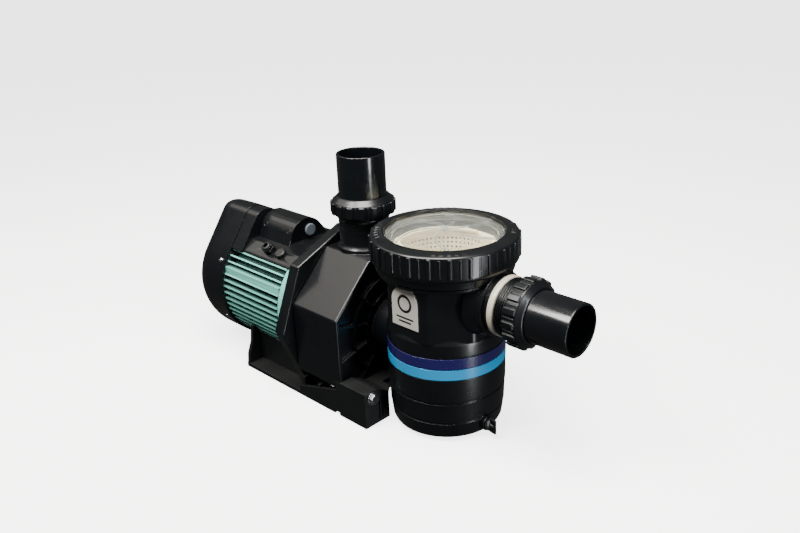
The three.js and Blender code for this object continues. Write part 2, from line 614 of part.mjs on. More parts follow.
function makeBoxCover() {
  const { split, front, apron, flangeR, floor, deck } = BOX;
  const { y, z, r, wall } = TUBE;
  const options = { at: [0, y, z], segments: ROUND.fine };
  const shoulders = pushed(
    "x",
    [[-38, floor], [38, floor], [38, deck], [21.5, 197.8], [-29.5, 197.8], [-38, deck]],
    split,
    front,
  );
  const flange = bar("x", flangeR, split, apron, { at: [0, 0, SHAFT_Z], segments: ROUND.fine })
    .intersect(block([-300, -200, floor], [0, 200, deck]));
  const room = bar("x", r - wall, split - 5, front - wall, options)
    .intersect(block([-300, -200, FLOOR_INSIDE], [0, 200, 300]));
  const hole = (x, size) => onFlank(bar("z", size, -9, 12, { segments: ROUND.small }), x);
  const plugHole = bar("x", 7.3, front - 8, front + 2, {
    at: [0, END_PLUG.y, END_PLUG.z],
    segments: ROUND.inner,
  });
  const body = join(bar("x", r, split, front, options), shoulders, flange);
  return cut(body, saddle(), room, hole(GLAND.x, 6.3), hole(GLAND.x + GLAND.toPlug, 5.3), plugHole);
}

function addTerminalBox(group) {
  addPiece(group, "terminal_box", makeBoxRear(), MATERIALS.black);
  addPiece(group, "terminal_box_cover", makeBoxCover(), MATERIALS.black);
  const can = bar("x", 12, -212, -156, { at: [0, 2, 192.3], segments: ROUND.inner });
  addPiece(group, "run_capacitor", can, MATERIALS.greyBlue);
  addPiece(group, "terminal_block", block([-238, -36, 180], [-222, -14, 190]), MATERIALS.cream);
  const small = { segments: ROUND.small };
  const gland = join(bar("z", 6, -4, 1, small), bar("z", 9, GAP, 5, { segments: 6 }));
  addPiece(group, "cable_gland_body", onFlank(gland, GLAND.x), MATERIALS.blackSatin);
  const nut = onFlank(tube("z", 4, 8, 5.3, 11.5, small), GLAND.x);
  addPiece(group, "cable_gland_nut", nut, MATERIALS.blackSatin);
  const blank = join(bar("z", 5, -4, 1, small), bar("z", 8, GAP, 4, small));
  addPiece(group, "blanking_plug", onFlank(blank, GLAND.x + GLAND.toPlug), MATERIALS.blackSatin);
  const options = { at: [0, END_PLUG.y, END_PLUG.z], segments: ROUND.inner };
  const cap = join(
    bar("x", 7, BOX.front - 3, BOX.front + 0.6, options),
    bar("x", 9, BOX.front + GAP, BOX.front + 3, options),
  );
  addPiece(group, "box_end_plug", cap, MATERIALS.greyBlue);
}

// ---- base ----
function baseCutters() {
  return [
    pushed("x", voluteOutline(GAP), VOLUTE.back - GAP, VOLUTE.front + GAP),
    bar("x", FRAME.finR + 1.5, BASE.back - 5, PLATE.back, { at: [0, 0, SHAFT_Z], segments: ROUND.fine }),
    block([PLATE.back - GAP, -130, BASE.floor], [PLATE.front + GAP, 130, 300]),
    bar("z", POT.r + 2, 0 - 1, 80, { at: [POT_X, 0, 0], segments: ROUND.fine }),
  ];
}

function makeBaseFrame() {
  const { back, join: end, halfWidth, floor } = BASE;
  const rim = cut(block([back, -halfWidth, 0], [end, halfWidth, floor]),
    block([back + 14, -72, -1], [end - 14, 72, floor + 1]));
  const rearOutline = mirrored([[60, 0], [halfWidth, 0], [98, 21], [91, 38], [88, 62], [60, 62]]);
  const rearWall = pushed("x", rearOutline, back, back + 6);
  const innerWalls = [-1, 1].map((side) =>
    block([back + 1, side * 73 - 3, 1], [PLATE.back - GAP, side * 73 + 3, 48]));
  const sideOutline = [[PLATE.front + 1, 0], [end, 0], [end, 36], [PLATE.front + 1, 14]];
  const sideWalls = [-1, 1].map((side) =>
    pushed("y", sideOutline, side < 0 ? -halfWidth : halfWidth - 5, side < 0 ? -halfWidth + 5 : halfWidth));
  const crossRibs = [-60, -28].map((x) => block([x, -99, 1], [x + 5, 99, 30]));
  const notch = block([end - 4.5, -halfWidth - 1, -1], [end + 1, halfWidth + 1, 4]);
  return cut(join(rim, rearWall, ...innerWalls, ...sideWalls, ...crossRibs), ...baseCutters(), notch);
}

function makeFrontFoot() {
  const { join: end, front, halfWidth } = BASE;
  const outline = mirrored([[30, 0], [halfWidth, 0], [halfWidth, 50], [80, 50], [56, 36], [30, 36]]);
  const body = pushed("x", outline, end + GAP, front);
  const underside = block([end + 6, -94, -1], [front - 6, 94, 30]);
  const middle = block([end - 1, -45, -1], [front + 1, 45, 60]);
  const faceRecess = [-1, 1].map((side) =>
    block([front - 2.5, side * 68.5 - 10.5, 5], [front + 1, side * 68.5 + 10.5, 33]));
  const faceRibs = [-1, 1].flatMap((side) => [63, 68.5, 74].map((y) =>
    block([front - 4, side * y - 1, 4], [front, side * y + 1, 34])));
  const notch = block([end - 1, -halfWidth - 1, -1], [end + 5.5, halfWidth + 1, 4]);
  const boltHoles = [-88, 88].map((y) =>
    bar("x", 4.3, 30, front + 1, { at: [0, y, 40], segments: ROUND.small }));
  const legs = cut(body, underside, ...faceRecess);
  const roomBehind = middle.intersect(block([40, -60, -2], [80, 60, 80]));
  return cut(join(legs, ...faceRibs), roomBehind, notch, ...boltHoles, ...baseCutters());
}

function addBase(group) {
  addPiece(group, "base_frame", makeBaseFrame(), MATERIALS.blackSatin);
  addPiece(group, "front_foot", makeFrontFoot(), MATERIALS.blackSatin);
  [["right", -88], ["left", 88]].forEach(([side, y]) => {
    const at = [0, y, 40];
    const shank = bar("x", 4, 36, BASE.front + 1, { at, segments: ROUND.small });
    const washer = bar("x", 9, BASE.front + GAP, BASE.front + 2, { at, segments: ROUND.inner });
    const head = bar("x", 7, BASE.front + 1, BASE.front + 6.5, { at, segments: 6 });
    addPiece(group, `foot_bolt_${side}`, join(shank, washer, head), MATERIALS.steel);
  });
}

const pump = new THREE.Group();
addWetEnd(pump);
addStrainer(pump);
addUnions(pump);
addMotor(pump);
addTerminalBox(pump);
addBase(pump);

export default pump;
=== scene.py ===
# %% [markdown]
# # A pool pump, piece by piece
# The pump is packed as a CAD part with moving bodies. This notebook dresses it: each round or soft
# piece is modelled again in detail over its CAD node, and every surface gets a procedural finish.

import json
import math

import bmesh
import bpy
from mathutils import Matrix, Vector


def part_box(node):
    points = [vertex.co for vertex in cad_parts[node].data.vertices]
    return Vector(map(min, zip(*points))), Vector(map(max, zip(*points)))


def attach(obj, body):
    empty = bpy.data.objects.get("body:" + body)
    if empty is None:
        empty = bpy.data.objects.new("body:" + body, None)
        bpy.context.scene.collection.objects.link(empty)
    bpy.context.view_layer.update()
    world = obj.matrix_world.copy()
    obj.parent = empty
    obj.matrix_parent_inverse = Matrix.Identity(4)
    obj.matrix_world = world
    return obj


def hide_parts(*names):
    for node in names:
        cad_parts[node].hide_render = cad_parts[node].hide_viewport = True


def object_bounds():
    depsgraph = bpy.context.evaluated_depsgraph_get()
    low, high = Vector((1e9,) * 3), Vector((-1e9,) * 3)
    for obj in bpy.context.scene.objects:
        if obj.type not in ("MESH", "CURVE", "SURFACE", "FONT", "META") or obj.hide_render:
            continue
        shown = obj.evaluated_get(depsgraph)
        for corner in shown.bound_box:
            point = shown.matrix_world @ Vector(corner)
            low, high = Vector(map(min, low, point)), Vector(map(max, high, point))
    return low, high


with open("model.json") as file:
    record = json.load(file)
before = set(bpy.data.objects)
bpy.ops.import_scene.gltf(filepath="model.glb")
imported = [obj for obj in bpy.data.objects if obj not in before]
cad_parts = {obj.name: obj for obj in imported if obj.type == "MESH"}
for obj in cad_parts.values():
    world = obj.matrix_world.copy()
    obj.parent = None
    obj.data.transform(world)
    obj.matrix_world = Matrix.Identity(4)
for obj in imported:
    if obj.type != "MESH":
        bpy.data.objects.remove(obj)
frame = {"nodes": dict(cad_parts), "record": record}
CAD_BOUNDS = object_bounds()
BODY_OF = {node: body for body, nodes in frame["record"]["behaviour"]["bodies"].items() for node in nodes}

# %% [markdown]
# ## Where things are
# Lengths in this notebook are millimetres, and one factor turns them into metres. The shaft, the
# strainer pot and the two ports each have a centre line, and these are read from the boxes of CAD
# nodes that sit on them. Everything else is placed from those lines, so the looks follow the part.

# %% Centre lines
MM = 0.001


def span(node, axis):
    """The lowest and highest millimetre of a node along one axis."""
    low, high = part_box(node)
    i = "xyz".index(axis)
    return low[i] / MM, high[i] / MM


def middle(node, axis):
    return sum(span(node, axis)) / 2


def radius_of(node, *axes):
    """A round node's outer radius: the larger half of its box across its own axis."""
    return max((span(node, a)[1] - span(node, a)[0]) / 2 for a in axes)


SHAFT_Z = middle("motor_shaft", "z")
POT_X = middle("clear_lid", "x")
PORT_Z = middle("suction_spigot", "z")
PORT_X = middle("discharge_spigot", "x")
print(f"shaft at z {SHAFT_Z:.1f}, pot at x {POT_X:.1f}, ports at z {PORT_Z:.1f} and x {PORT_X:.1f}")

# %% [markdown]
# ## Modelling kit
# Most of the pump is turned or moulded, so a handful of shapes is enough: a profile spun round an
# axis, an outline pushed to a depth, and a rounded block. Each one starts as a few points and is
# made by a mesh operator. Softening the sharp edges with a small bevel is what lets a moulded edge
# catch the light.

# %% Basic shapes
TO_X = Matrix(((0, 0, 1, 0), (1, 0, 0, 0), (0, 1, 0, 0), (0, 0, 0, 1)))


def at(x, y, z):
    return Matrix.Translation((x * MM, y * MM, z * MM))


ON_SHAFT = at(0, 0, SHAFT_Z) @ TO_X
ON_PORT = at(0, 0, PORT_Z) @ TO_X


def spun(profile, steps=96, turn=360):
    """A profile of (radius, height) points spun about Z. It is closed unless it starts on the axis."""
    bm = bmesh.new()
    points = [bm.verts.new((r * MM, 0, h * MM)) for r, h in profile]
    edges = [bm.edges.new(pair) for pair in zip(points, points[1:])]
    if profile[0][0] > 0:
        edges.append(bm.edges.new((points[-1], points[0])))
    bmesh.ops.spin(bm, geom=points + edges, cent=(0, 0, 0), axis=(0, 0, 1), angle=math.radians(turn),
                   steps=steps, use_merge=turn == 360)
    return tidy(bm)


def pushed(outline, depth):
    """A flat outline of (x, y) points pushed up along Z."""
    bm = bmesh.new()
    face = bm.faces.new([bm.verts.new((u * MM, v * MM, 0)) for u, v in outline])
    top = bmesh.ops.extrude_face_region(bm, geom=[face])["geom"]
    bmesh.ops.translate(bm, verts=[g for g in top if isinstance(g, bmesh.types.BMVert)],
                        vec=(0, 0, depth * MM))
    return tidy(bm)


def block(low, high, round_by=0.0, segments=2):
    """A box between two corners, its edges rounded."""
    bm = bmesh.new()
    size = [h - l for l, h in zip(low, high)]
    place = at(*[(h + l) / 2 for l, h in zip(low, high)]) @ Matrix.Diagonal([*(s * MM for s in size), 1])
    bmesh.ops.create_cube(bm, size=1, matrix=place)
    return softened(bm, round_by, segments=segments) if round_by else bm


def tidy(bm):
    bmesh.ops.remove_doubles(bm, verts=bm.verts, dist=1e-6)
    bmesh.ops.recalc_face_normals(bm, faces=bm.faces)
    return bm


def softened(bm, width, degrees=30, segments=2, pick=None):
    """Rounds the edges where two faces meet at more than some angle."""
    limit = math.radians(degrees)
    sharp = [e for e in bm.edges if len(e.link_faces) == 2 and e.calc_face_angle() > limit
             and (pick is None or pick(e))]
    bmesh.ops.bevel(bm, geom=sharp, offset=width * MM, offset_type="OFFSET", segments=segments, profile=0.5,
                    affect="EDGES", clamp_overlap=True, material=-1)
    return tidy(bm)


def moved(bm, matrix):
    bm.transform(matrix)
    return bm


# %% [markdown]
# Ribs, bolts and fins repeat round an axis, so one is made and copied by turning it. Shapes that
# simply stand in one another are joined without cutting. Real openings, such as bores and grille
# slots, are cut with a boolean between two clean closed solids.

# %% Joining, repeating and cutting
def joined(*parts):
    """All shapes in one mesh."""
    whole = bmesh.new()
    for part in parts:
        mesh = bpy.data.meshes.new("part")
        part.to_mesh(mesh)
        part.free()
        whole.from_mesh(mesh)
        bpy.data.meshes.remove(mesh)
    return whole


def repeated(part, matrices):
    """One shape copied to several places."""
    copies = []
    for matrix in matrices:
        copy = part.copy()
        copy.transform(matrix)
        copies.append(copy)
    part.free()
    return joined(*copies)


def around(count, axis="Z", start=0.0):
    return [Matrix.Rotation(math.radians(start + 360 * i / count), 4, axis) for i in range(count)]


def solved(body, tool, operation="DIFFERENCE"):
    """The boolean of two closed shapes."""
    objects = []
    for part in (body, tool):
        mesh = bpy.data.meshes.new("solid")
        part.to_mesh(mesh)
        part.free()
        obj = bpy.data.objects.new("solid", mesh)
        bpy.context.scene.collection.objects.link(obj)
        objects.append(obj)
    cutter = objects[0].modifiers.new("cut", "BOOLEAN")
    cutter.object, cutter.operation, cutter.solver = objects[1], operation, "EXACT"
    evaluated = objects[0].evaluated_get(bpy.context.evaluated_depsgraph_get())
    result = bmesh.new()
    result.from_mesh(evaluated.to_mesh())
    evaluated.to_mesh_clear()
    for obj in objects:
        mesh = obj.data
        bpy.data.objects.remove(obj)
        bpy.data.meshes.remove(mesh)
    return tidy(result)


def rod(radius, low, high, steps=64):
    return spun([(0, low), (radius, low), (radius, high), (0, high)], steps)


# %% [markdown]
# ## Finishing kit
# A finished piece keeps its place in its mesh, shades smoothly where it is round and crisply where
# it isn't, and rides on the body of the node it stands for. Weighted normals keep big flat faces
# flat beside small rounded edges.

# %% Turning a shape into a piece of the pump
MATERIAL = {}


def piece(title, bm, slot, *nodes, body=None, crease=38):
    name = "look_" + title.lower().replace(" ", "_")
    mesh = bpy.data.meshes.new(name)
    bmesh.ops.recalc_face_normals(bm, faces=bm.faces)
    for face in bm.faces:
        face.smooth = True
    bm.to_mesh(mesh)
    bm.free()
    mesh.set_sharp_from_angle(angle=math.radians(crease))
    mesh.materials.append(MATERIAL[slot])
    obj = bpy.data.objects.new(name, mesh)
    bpy.context.scene.collection.objects.link(obj)
    weighted = obj.modifiers.new("Flat faces stay flat", "WEIGHTED_NORMAL")
    weighted.keep_sharp = True
    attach(obj, body or BODY_OF[nodes[0]])
    if nodes:
        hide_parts(*nodes)
    print(f"{name}: {len(mesh.polygons)} faces, {slot}, on {body or BODY_OF[nodes[0]]}")
    return obj


def smoothed_copy(node):
    """A CAD node's own mesh with its loose triangles joined up."""
    bm = bmesh.new()
    bm.from_mesh(frame["nodes"][node].data)
    bmesh.ops.remove_doubles(bm, verts=bm.verts, dist=2e-5)
    return bm


# %% [markdown]
# ## Shared surface effects
# Four small node groups are shared by all finishes. Each gives plain values: a height for the bump,
# a mask, or a normal. *Moulding grain* mixes a fine texture with slow waves, so that reflections
# wander a little as they do on injection-moulded plastic.

# %% Node helpers and the moulding grain
def new_group(name, inputs, outputs):
    tree = bpy.data.node_groups.new(name, "ShaderNodeTree")
    for label, value in inputs:
        socket = tree.interface.new_socket(label, in_out="INPUT", socket_type="NodeSocketFloat")
        socket.default_value = value
    for label, kind in outputs:
        tree.interface.new_socket(label, in_out="OUTPUT", socket_type=kind)
    return tree, tree.nodes.new("NodeGroupInput").outputs, tree.nodes.new("NodeGroupOutput").inputs


def feed(tree, socket, value):
    """Links a socket into an input, or sets a plain number on it."""
    if isinstance(value, bpy.types.NodeSocket):
        tree.links.new(value, socket)
    else:
        socket.default_value = value


def calc(tree, operation, a, b=0.0, clamp=False):
    node = tree.nodes.new("ShaderNodeMath")
    node.operation, node.use_clamp = operation, clamp
    feed(tree, node.inputs[0], a)
    feed(tree, node.inputs[1], b)
    return node.outputs[0]


def noise(tree, scale, detail=2.0, stretch=(1, 1, 1)):
    """Noise in the object's own coordinates."""
    place = tree.nodes.new("ShaderNodeTexCoord").outputs["Object"]
    if stretch != (1, 1, 1):
        mapping = tree.nodes.new("ShaderNodeMapping")
        mapping.inputs["Scale"].default_value = stretch
        tree.links.new(place, mapping.inputs["Vector"])
        place = mapping.outputs[0]
    node = tree.nodes.new("ShaderNodeTexNoise")
    tree.links.new(place, node.inputs["Vector"])
    feed(tree, node.inputs["Scale"], scale)
    node.inputs["Detail"].default_value = detail
    return node.outputs[0]


GRAIN, given, made = new_group("Moulding grain", [("Scale", 900.0)],
                               [("Height", "NodeSocketFloat"), ("Variation", "NodeSocketFloat")])
slow = noise(GRAIN, 22.0, 1.0)
fine = noise(GRAIN, given["Scale"], 3.0)
GRAIN.links.new(calc(GRAIN, "ADD", calc(GRAIN, "MULTIPLY", fine, 0.25),
                     calc(GRAIN, "MULTIPLY", slow, 0.75)), made["Height"])
GRAIN.links.new(slow, made["Variation"])
print("Moulding grain:", len(GRAIN.nodes), "nodes")

# %% [markdown]
# *Soft edge* rounds the normal near every edge and compares it with the true one. The rounded
# normal makes a crisp modelled edge read as a moulded radius, and the difference between the two
# is a mask of the edges, broken up by noise, where handling has polished or paled the plastic; on
# the pipes the same paling also serves as a painted highlight along the rims.

# %% Soft edge
EDGE, given, made = new_group("Soft edge", [("Radius", 0.0009)],
                              [("Normal", "NodeSocketVector"), ("Mask", "NodeSocketFloat")])
bevel = EDGE.nodes.new("ShaderNodeBevel")
bevel.samples = 4
EDGE.links.new(given["Radius"], bevel.inputs["Radius"])
true_normal = EDGE.nodes.new("ShaderNodeNewGeometry").outputs["Normal"]
compare = EDGE.nodes.new("ShaderNodeVectorMath")
compare.operation = "DOT_PRODUCT"
EDGE.links.new(bevel.outputs[0], compare.inputs[0])
EDGE.links.new(true_normal, compare.inputs[1])
turned_away = calc(EDGE, "MULTIPLY", calc(EDGE, "SUBTRACT", 1.0, compare.outputs["Value"]), 5.0, clamp=True)
broken = calc(EDGE, "MULTIPLY", noise(EDGE, 260.0, 4.0), 1.6, clamp=True)
EDGE.links.new(bevel.outputs[0], made["Normal"])
EDGE.links.new(calc(EDGE, "MULTIPLY", turned_away, broken), made["Mask"])
print("Soft edge:", len(EDGE.nodes), "nodes")

# %% [markdown]
# *Settled dust* looks for faces that point up and breaks them up with noise. *Faint scratches*
# stretches a noise along one axis and keeps only its peaks, which then change the roughness.

# %% Dust and scratches
DUST, given, made = new_group("Settled dust", [("Amount", 0.3)], [("Mask", "NodeSocketFloat")])
split = DUST.nodes.new("ShaderNodeSeparateXYZ")
DUST.links.new(DUST.nodes.new("ShaderNodeNewGeometry").outputs["Normal"], split.inputs[0])
upward = calc(DUST, "POWER", calc(DUST, "MAXIMUM", split.outputs[2], 0.0), 3.0)
patches = calc(DUST, "MULTIPLY", noise(DUST, 45.0, 6.0), noise(DUST, 700.0, 2.0))
DUST.links.new(calc(DUST, "MULTIPLY", calc(DUST, "MULTIPLY", upward, patches), given["Amount"]),
               made["Mask"])

SCRATCH, given, made = new_group("Faint scratches", [("Amount", 0.5)], [("Value", "NodeSocketFloat")])
streaks = noise(SCRATCH, 60.0, 4.0, stretch=(1.0, 9.0, 2.0))
peaks = calc(SCRATCH, "MULTIPLY", calc(SCRATCH, "SUBTRACT", streaks, 0.56), 5.0, clamp=True)
SCRATCH.links.new(calc(SCRATCH, "MULTIPLY", peaks, given["Amount"]), made["Value"])
print("Settled dust:", len(DUST.nodes), "nodes; Faint scratches:", len(SCRATCH.nodes), "nodes")

# %% [markdown]
# ## Finishes
# Every opaque finish is one recipe with different numbers: a base colour that pales a little on
# worn edges and under dust and can be darkened in narrow gaps as painted shade, a roughness that wanders
# with the grain and the scratches, and a bump over softened normals. The colours and strengths are what
# tell rubber from gloss plastic.

# %% The opaque recipe
def linear(code):
    """A colour written as #rrggbb, as linear light."""
    values = [int(code[i : i + 2], 16) / 255 for i in (1, 3, 5)]
    return [*(v / 12.92 if v <= 0.04045 else ((v + 0.055) / 1.055) ** 2.4 for v in values), 1.0]


def use(tree, group, **values):
    node = tree.nodes.new("ShaderNodeGroup")
    node.node_tree = group
    for label, value in values.items():
        node.inputs[label].default_value = value
    return node.outputs


def tinted(tree, factor, a, b):
    mix = tree.nodes.new("ShaderNodeMix")
    mix.data_type = "RGBA"
    feed(tree, mix.inputs[0], factor)
    feed(tree, mix.inputs[6], a)
    feed(tree, mix.inputs[7], b)
    return mix.outputs[2]


def opaque(slot, colour, pale_tone, roughness, *, metallic=0.0, grain=900.0, bump=0.1, edge_wear_and_highlight=0.35, dust=0.3,
           scratch=0.5,
           coat=0.0, edge=0.0009, sheen=0.0, shade=0.0, height=None):
    material = bpy.data.materials.new(slot)
    material.use_nodes = True
    tree = material.node_tree
    shader = tree.nodes["Principled BSDF"]
    surface = use(tree, GRAIN, Scale=grain)
    rim = use(tree, EDGE, Radius=edge)
    settled = use(tree, DUST, Amount=dust)["Mask"]
    streak = use(tree, SCRATCH, Amount=scratch)["Value"]
    mottle_and_gap_shade = tinted(tree, calc(tree, "MULTIPLY", surface["Variation"], 0.07), linear(colour), linear(pale_tone))
    # Painted shade: where ambient occlusion finds a narrow gap, the base colour is darkened towards a
    # near-black teal.
    if shade:
        nook = tree.nodes.new("ShaderNodeAmbientOcclusion")
        nook.inputs["Distance"].default_value = 0.014
        open_part = calc(tree, "POWER", nook.outputs["AO"], shade)
        mottle_and_gap_shade = tinted(tree, open_part, linear("#0a1211"), mottle_and_gap_shade)
    # Edges pale towards the paler tone: wear, and on the pipes also a painted highlight on the rims.
    paled = tinted(tree, calc(tree, "MULTIPLY", rim["Mask"], edge_wear_and_highlight), mottle_and_gap_shade, linear(pale_tone))
    feed(tree, shader.inputs["Base Color"], tinted(tree, settled, paled, linear("#b9b2a4")))
    wander = calc(tree, "MULTIPLY", calc(tree, "SUBTRACT", surface["Variation"], 0.5), 0.16)
    rough = calc(tree, "ADD", calc(tree, "ADD", wander, roughness), calc(tree, "MULTIPLY", streak, 0.12))
    dulled = calc(tree, "ADD", rough, calc(tree, "MULTIPLY", settled, 0.4), clamp=True)
    feed(tree, shader.inputs["Roughness"], dulled)
    relief = tree.nodes.new("ShaderNodeBump")
    relief.inputs["Strength"].default_value = bump
    relief.inputs["Distance"].default_value = 0.0006
    feed(tree, relief.inputs["Height"], height(tree) if height else surface["Height"])
    tree.links.new(rim["Normal"], relief.inputs["Normal"])
    tree.links.new(relief.outputs[0], shader.inputs["Normal"])
    shader.inputs["Metallic"].default_value = metallic
    shader.inputs["Coat Weight"].default_value = coat
    shader.inputs["Coat Roughness"].default_value = 0.08
    shader.inputs["Sheen Weight"].default_value = sheen
    MATERIAL[slot] = material
    print(f"{slot}: {len(tree.nodes)} nodes")
    return material


# %% [markdown]
# The pump's own colours. The casing is a near-black plastic with a cool cast and a tight gloss; the
# base and the small fittings are a satin version of it. The motor is a light teal paint, thick
# enough to round over the edges of its fins, and its colour carries painted shade deep between them.

# %% Plastics, paint and rubber
opaque("black_gloss", "#06090c", "#1f2326", 0.29, bump=0.05, dust=0.015, coat=0.12, edge_wear_and_highlight=0.12)
opaque("black_satin", "#0a0c0e", "#272a2c", 0.40, bump=0.16, grain=1500, dust=0.03, edge_wear_and_highlight=0.2)
# The pipes' pale edges are partly wear and partly a painted highlight along the rims of the pipe ends.
opaque("pipe_black", "#05080b", "#32373a", 0.20, bump=0.04, dust=0.015, coat=0.4, edge_wear_and_highlight=0.3)
opaque("rubber", "#0b0b0c", "#232323", 0.78, bump=0.30, grain=2400, dust=0.20, sheen=0.1)
opaque("white_ring", "#c4bcab", "#e2dccf", 0.34, bump=0.06, dust=0.10, coat=0.2)
opaque("cream_plastic", "#e6d6b4", "#f6ecd6", 0.40, bump=0.08, dust=0.04)
opaque("light_blue", "#128cc4", "#5cb8de", 0.28, bump=0.04, dust=0.05, coat=0.4, edge_wear_and_highlight=0.2)
opaque("dark_blue", "#18154c", "#37346f", 0.26, bump=0.04, dust=0.05, coat=0.5, edge_wear_and_highlight=0.2)
opaque("grey_blue", "#5c6670", "#8c97a2", 0.42, bump=0.12, dust=0.15)
# The teal gets painted shade deep between the fins through its shade setting.
opaque("teal_paint", "#6cc0b2", "#b2e0d6", 0.38, bump=0.20, grain=420, dust=0.08, coat=0.15, edge=0.0007,
       shade=1.3)
opaque("badge_silver", "#d9d6cf", "#f4f2ee", 0.30, metallic=0.25, bump=0.05, grain=3000, dust=0.04,
       coat=0.3)

# %% [markdown]
# The hidden metals. Cast iron and pressed steel sheet share one grey with a coarse grain. The
# bright steel of bolts, shaft and bearings is nearly smooth. Windings are many turns of enamelled
# wire: their relief comes from rings of constant radius about the shaft, so it follows the turns.

# %% Metals, ceramic and copper wire
def wire_height(tree):
    place = tree.nodes.new("ShaderNodeSeparateXYZ")
    tree.links.new(tree.nodes.new("ShaderNodeTexCoord").outputs["Object"], place.inputs[0])
    up = calc(tree, "SUBTRACT", place.outputs[2], SHAFT_Z * MM)
    squared = calc(tree, "ADD", calc(tree, "MULTIPLY", up, up),
                   calc(tree, "MULTIPLY", place.outputs[1], place.outputs[1]))
    across = calc(tree, "ADD", calc(tree, "SQRT", squared), calc(tree, "MULTIPLY", place.outputs[0], 0.7))
    sag = calc(tree, "MULTIPLY", noise(tree, 30.0, 3.0), 0.01)
    return calc(tree, "SINE", calc(tree, "MULTIPLY", calc(tree, "ADD", across, sag), 5200.0))


opaque("cast_grey", "#54575a", "#8d9194", 0.52, metallic=0.8, bump=0.4, grain=700, dust=0.2)
opaque("bright_steel", "#b9bdc1", "#e4e6e8", 0.24, metallic=1.0, bump=0.05, grain=2600, dust=0.08,
       scratch=1.0, edge=0.0004)
opaque("seal_ceramic", "#e4e0d6", "#f7f5f0", 0.22, bump=0.03, grain=2600, dust=0.05, coat=0.3)
opaque("copper", "#a0572c", "#d08a55", 0.34, metallic=0.9, bump=0.7, dust=0.1, height=wire_height)

# %% [markdown]
# The lid is clear polycarbonate. A faint grey tint, a little haze that comes and goes, and slow
# waves from moulding are enough; the rest of its look is refraction through its real thickness.
# Light on its way to the basket passes straight through, so the basket isn't left in the dark.

# %% Clear lid
clear = bpy.data.materials.new("clear_plastic")
clear.use_nodes = True
tree = clear.node_tree
shader = tree.nodes["Principled BSDF"]
surface = use(tree, GRAIN, Scale=300.0)
haze = calc(tree, "MULTIPLY", use(tree, SCRATCH, Amount=0.4)["Value"], 0.08)
feed(tree, shader.inputs["Roughness"], calc(tree, "ADD", haze, 0.02))
tint = tinted(tree, surface["Variation"], linear("#f1f4f1"), linear("#e2e8e4"))
feed(tree, shader.inputs["Base Color"], tint)
relief = tree.nodes.new("ShaderNodeBump")
relief.inputs["Strength"].default_value = 0.05
relief.inputs["Distance"].default_value = 0.0006
tree.links.new(surface["Height"], relief.inputs["Height"])
tree.links.new(relief.outputs[0], shader.inputs["Normal"])
shader.inputs["Transmission Weight"].default_value = 0.96
shader.inputs["IOR"].default_value = 1.5
open_to_light = tree.nodes.new("ShaderNodeMixShader")
tree.links.new(tree.nodes.new("ShaderNodeLightPath").outputs["Is Shadow Ray"], open_to_light.inputs[0])
tree.links.new(shader.outputs[0], open_to_light.inputs[1])
tree.links.new(tree.nodes.new("ShaderNodeBsdfTransparent").outputs[0], open_to_light.inputs[2])
tree.links.new(open_to_light.outputs[0], tree.nodes["Material Output"].inputs[0])
MATERIAL["clear_plastic"] = clear
print("clear_plastic:", len(tree.nodes), "nodes")

# %% [markdown]
# ## Volute casing
# The casing is an octagonal block across the shaft. Its front face is recessed inside a rim, and
# thin moulding ribs cross the recess: twelve spokes and two rings round a hub. The outline is
# pushed to depth, softened, and the front face inset and sunk, which is how such a core-out is cut.

# %% Casing block and its ribbed face
VOLUTE_BACK, VOLUTE_FRONT = span("volute_casing", "x")
HALF_WIDTH = radius_of("volute_casing", "y")
RECESS = 6.0


def volute_outline(shrink=0.0):
    slant = shrink * math.tan(math.pi / 8)
    right = [(73 - slant, 14 + shrink), (HALF_WIDTH - shrink, 41 + slant),
             (HALF_WIDTH - shrink, 136 - slant), (36.5 - slant, 199.5 - shrink)]
    return right + [(-y, z) for y, z in reversed(right)]


casing = softened(pushed(volute_outline(), VOLUTE_FRONT - VOLUTE_BACK), 2.4, segments=4)
front = max(casing.faces, key=lambda f: (f.normal.z > 0.9) * f.calc_area())
bmesh.ops.inset_individual(casing, faces=[front], thickness=3.6 * MM, depth=0)
sunk = bmesh.ops.extrude_discrete_faces(casing, faces=[front])["faces"]
bmesh.ops.translate(casing, verts=sunk[0].verts, vec=(0, 0, -RECESS * MM))
casing = moved(casing, at(VOLUTE_BACK, 0, 0) @ TO_X)

spoke = block((-1.2, 46, 0), (1.2, 130, RECESS - 0.4))
spokes = moved(repeated(spoke, around(12, start=15)), at(VOLUTE_FRONT - RECESS - 0.2, 0, SHAFT_Z) @ TO_X)
room = moved(pushed(volute_outline(RECESS - 0.2), 20), at(VOLUTE_FRONT - 14, 0, 0) @ TO_X)
spokes = solved(tidy(spokes), room, "INTERSECT")
rings = [spun([(r, -0.2), (r + 2.6, -0.2), (r + 2.6, RECESS - 0.6), (r, RECESS - 0.6)],
              96) for r in (45.7, 68.7)]
hub = softened(spun([(0, -0.2), (43.5, -0.2), (43.5, RECESS - 1), (0, RECESS - 1)], 96), 0.8)
web = moved(joined(*rings, hub), at(VOLUTE_FRONT - RECESS, 0, SHAFT_Z) @ TO_X)
print("casing block and web ready")

# %% [markdown]
# The discharge neck stands on top: a flare, a few shallow ridges and the thread that the union nut
# runs on. Three bores make it real: the impeller chamber, the eye towards the strainer and the
# outlet, which you can look down from above.

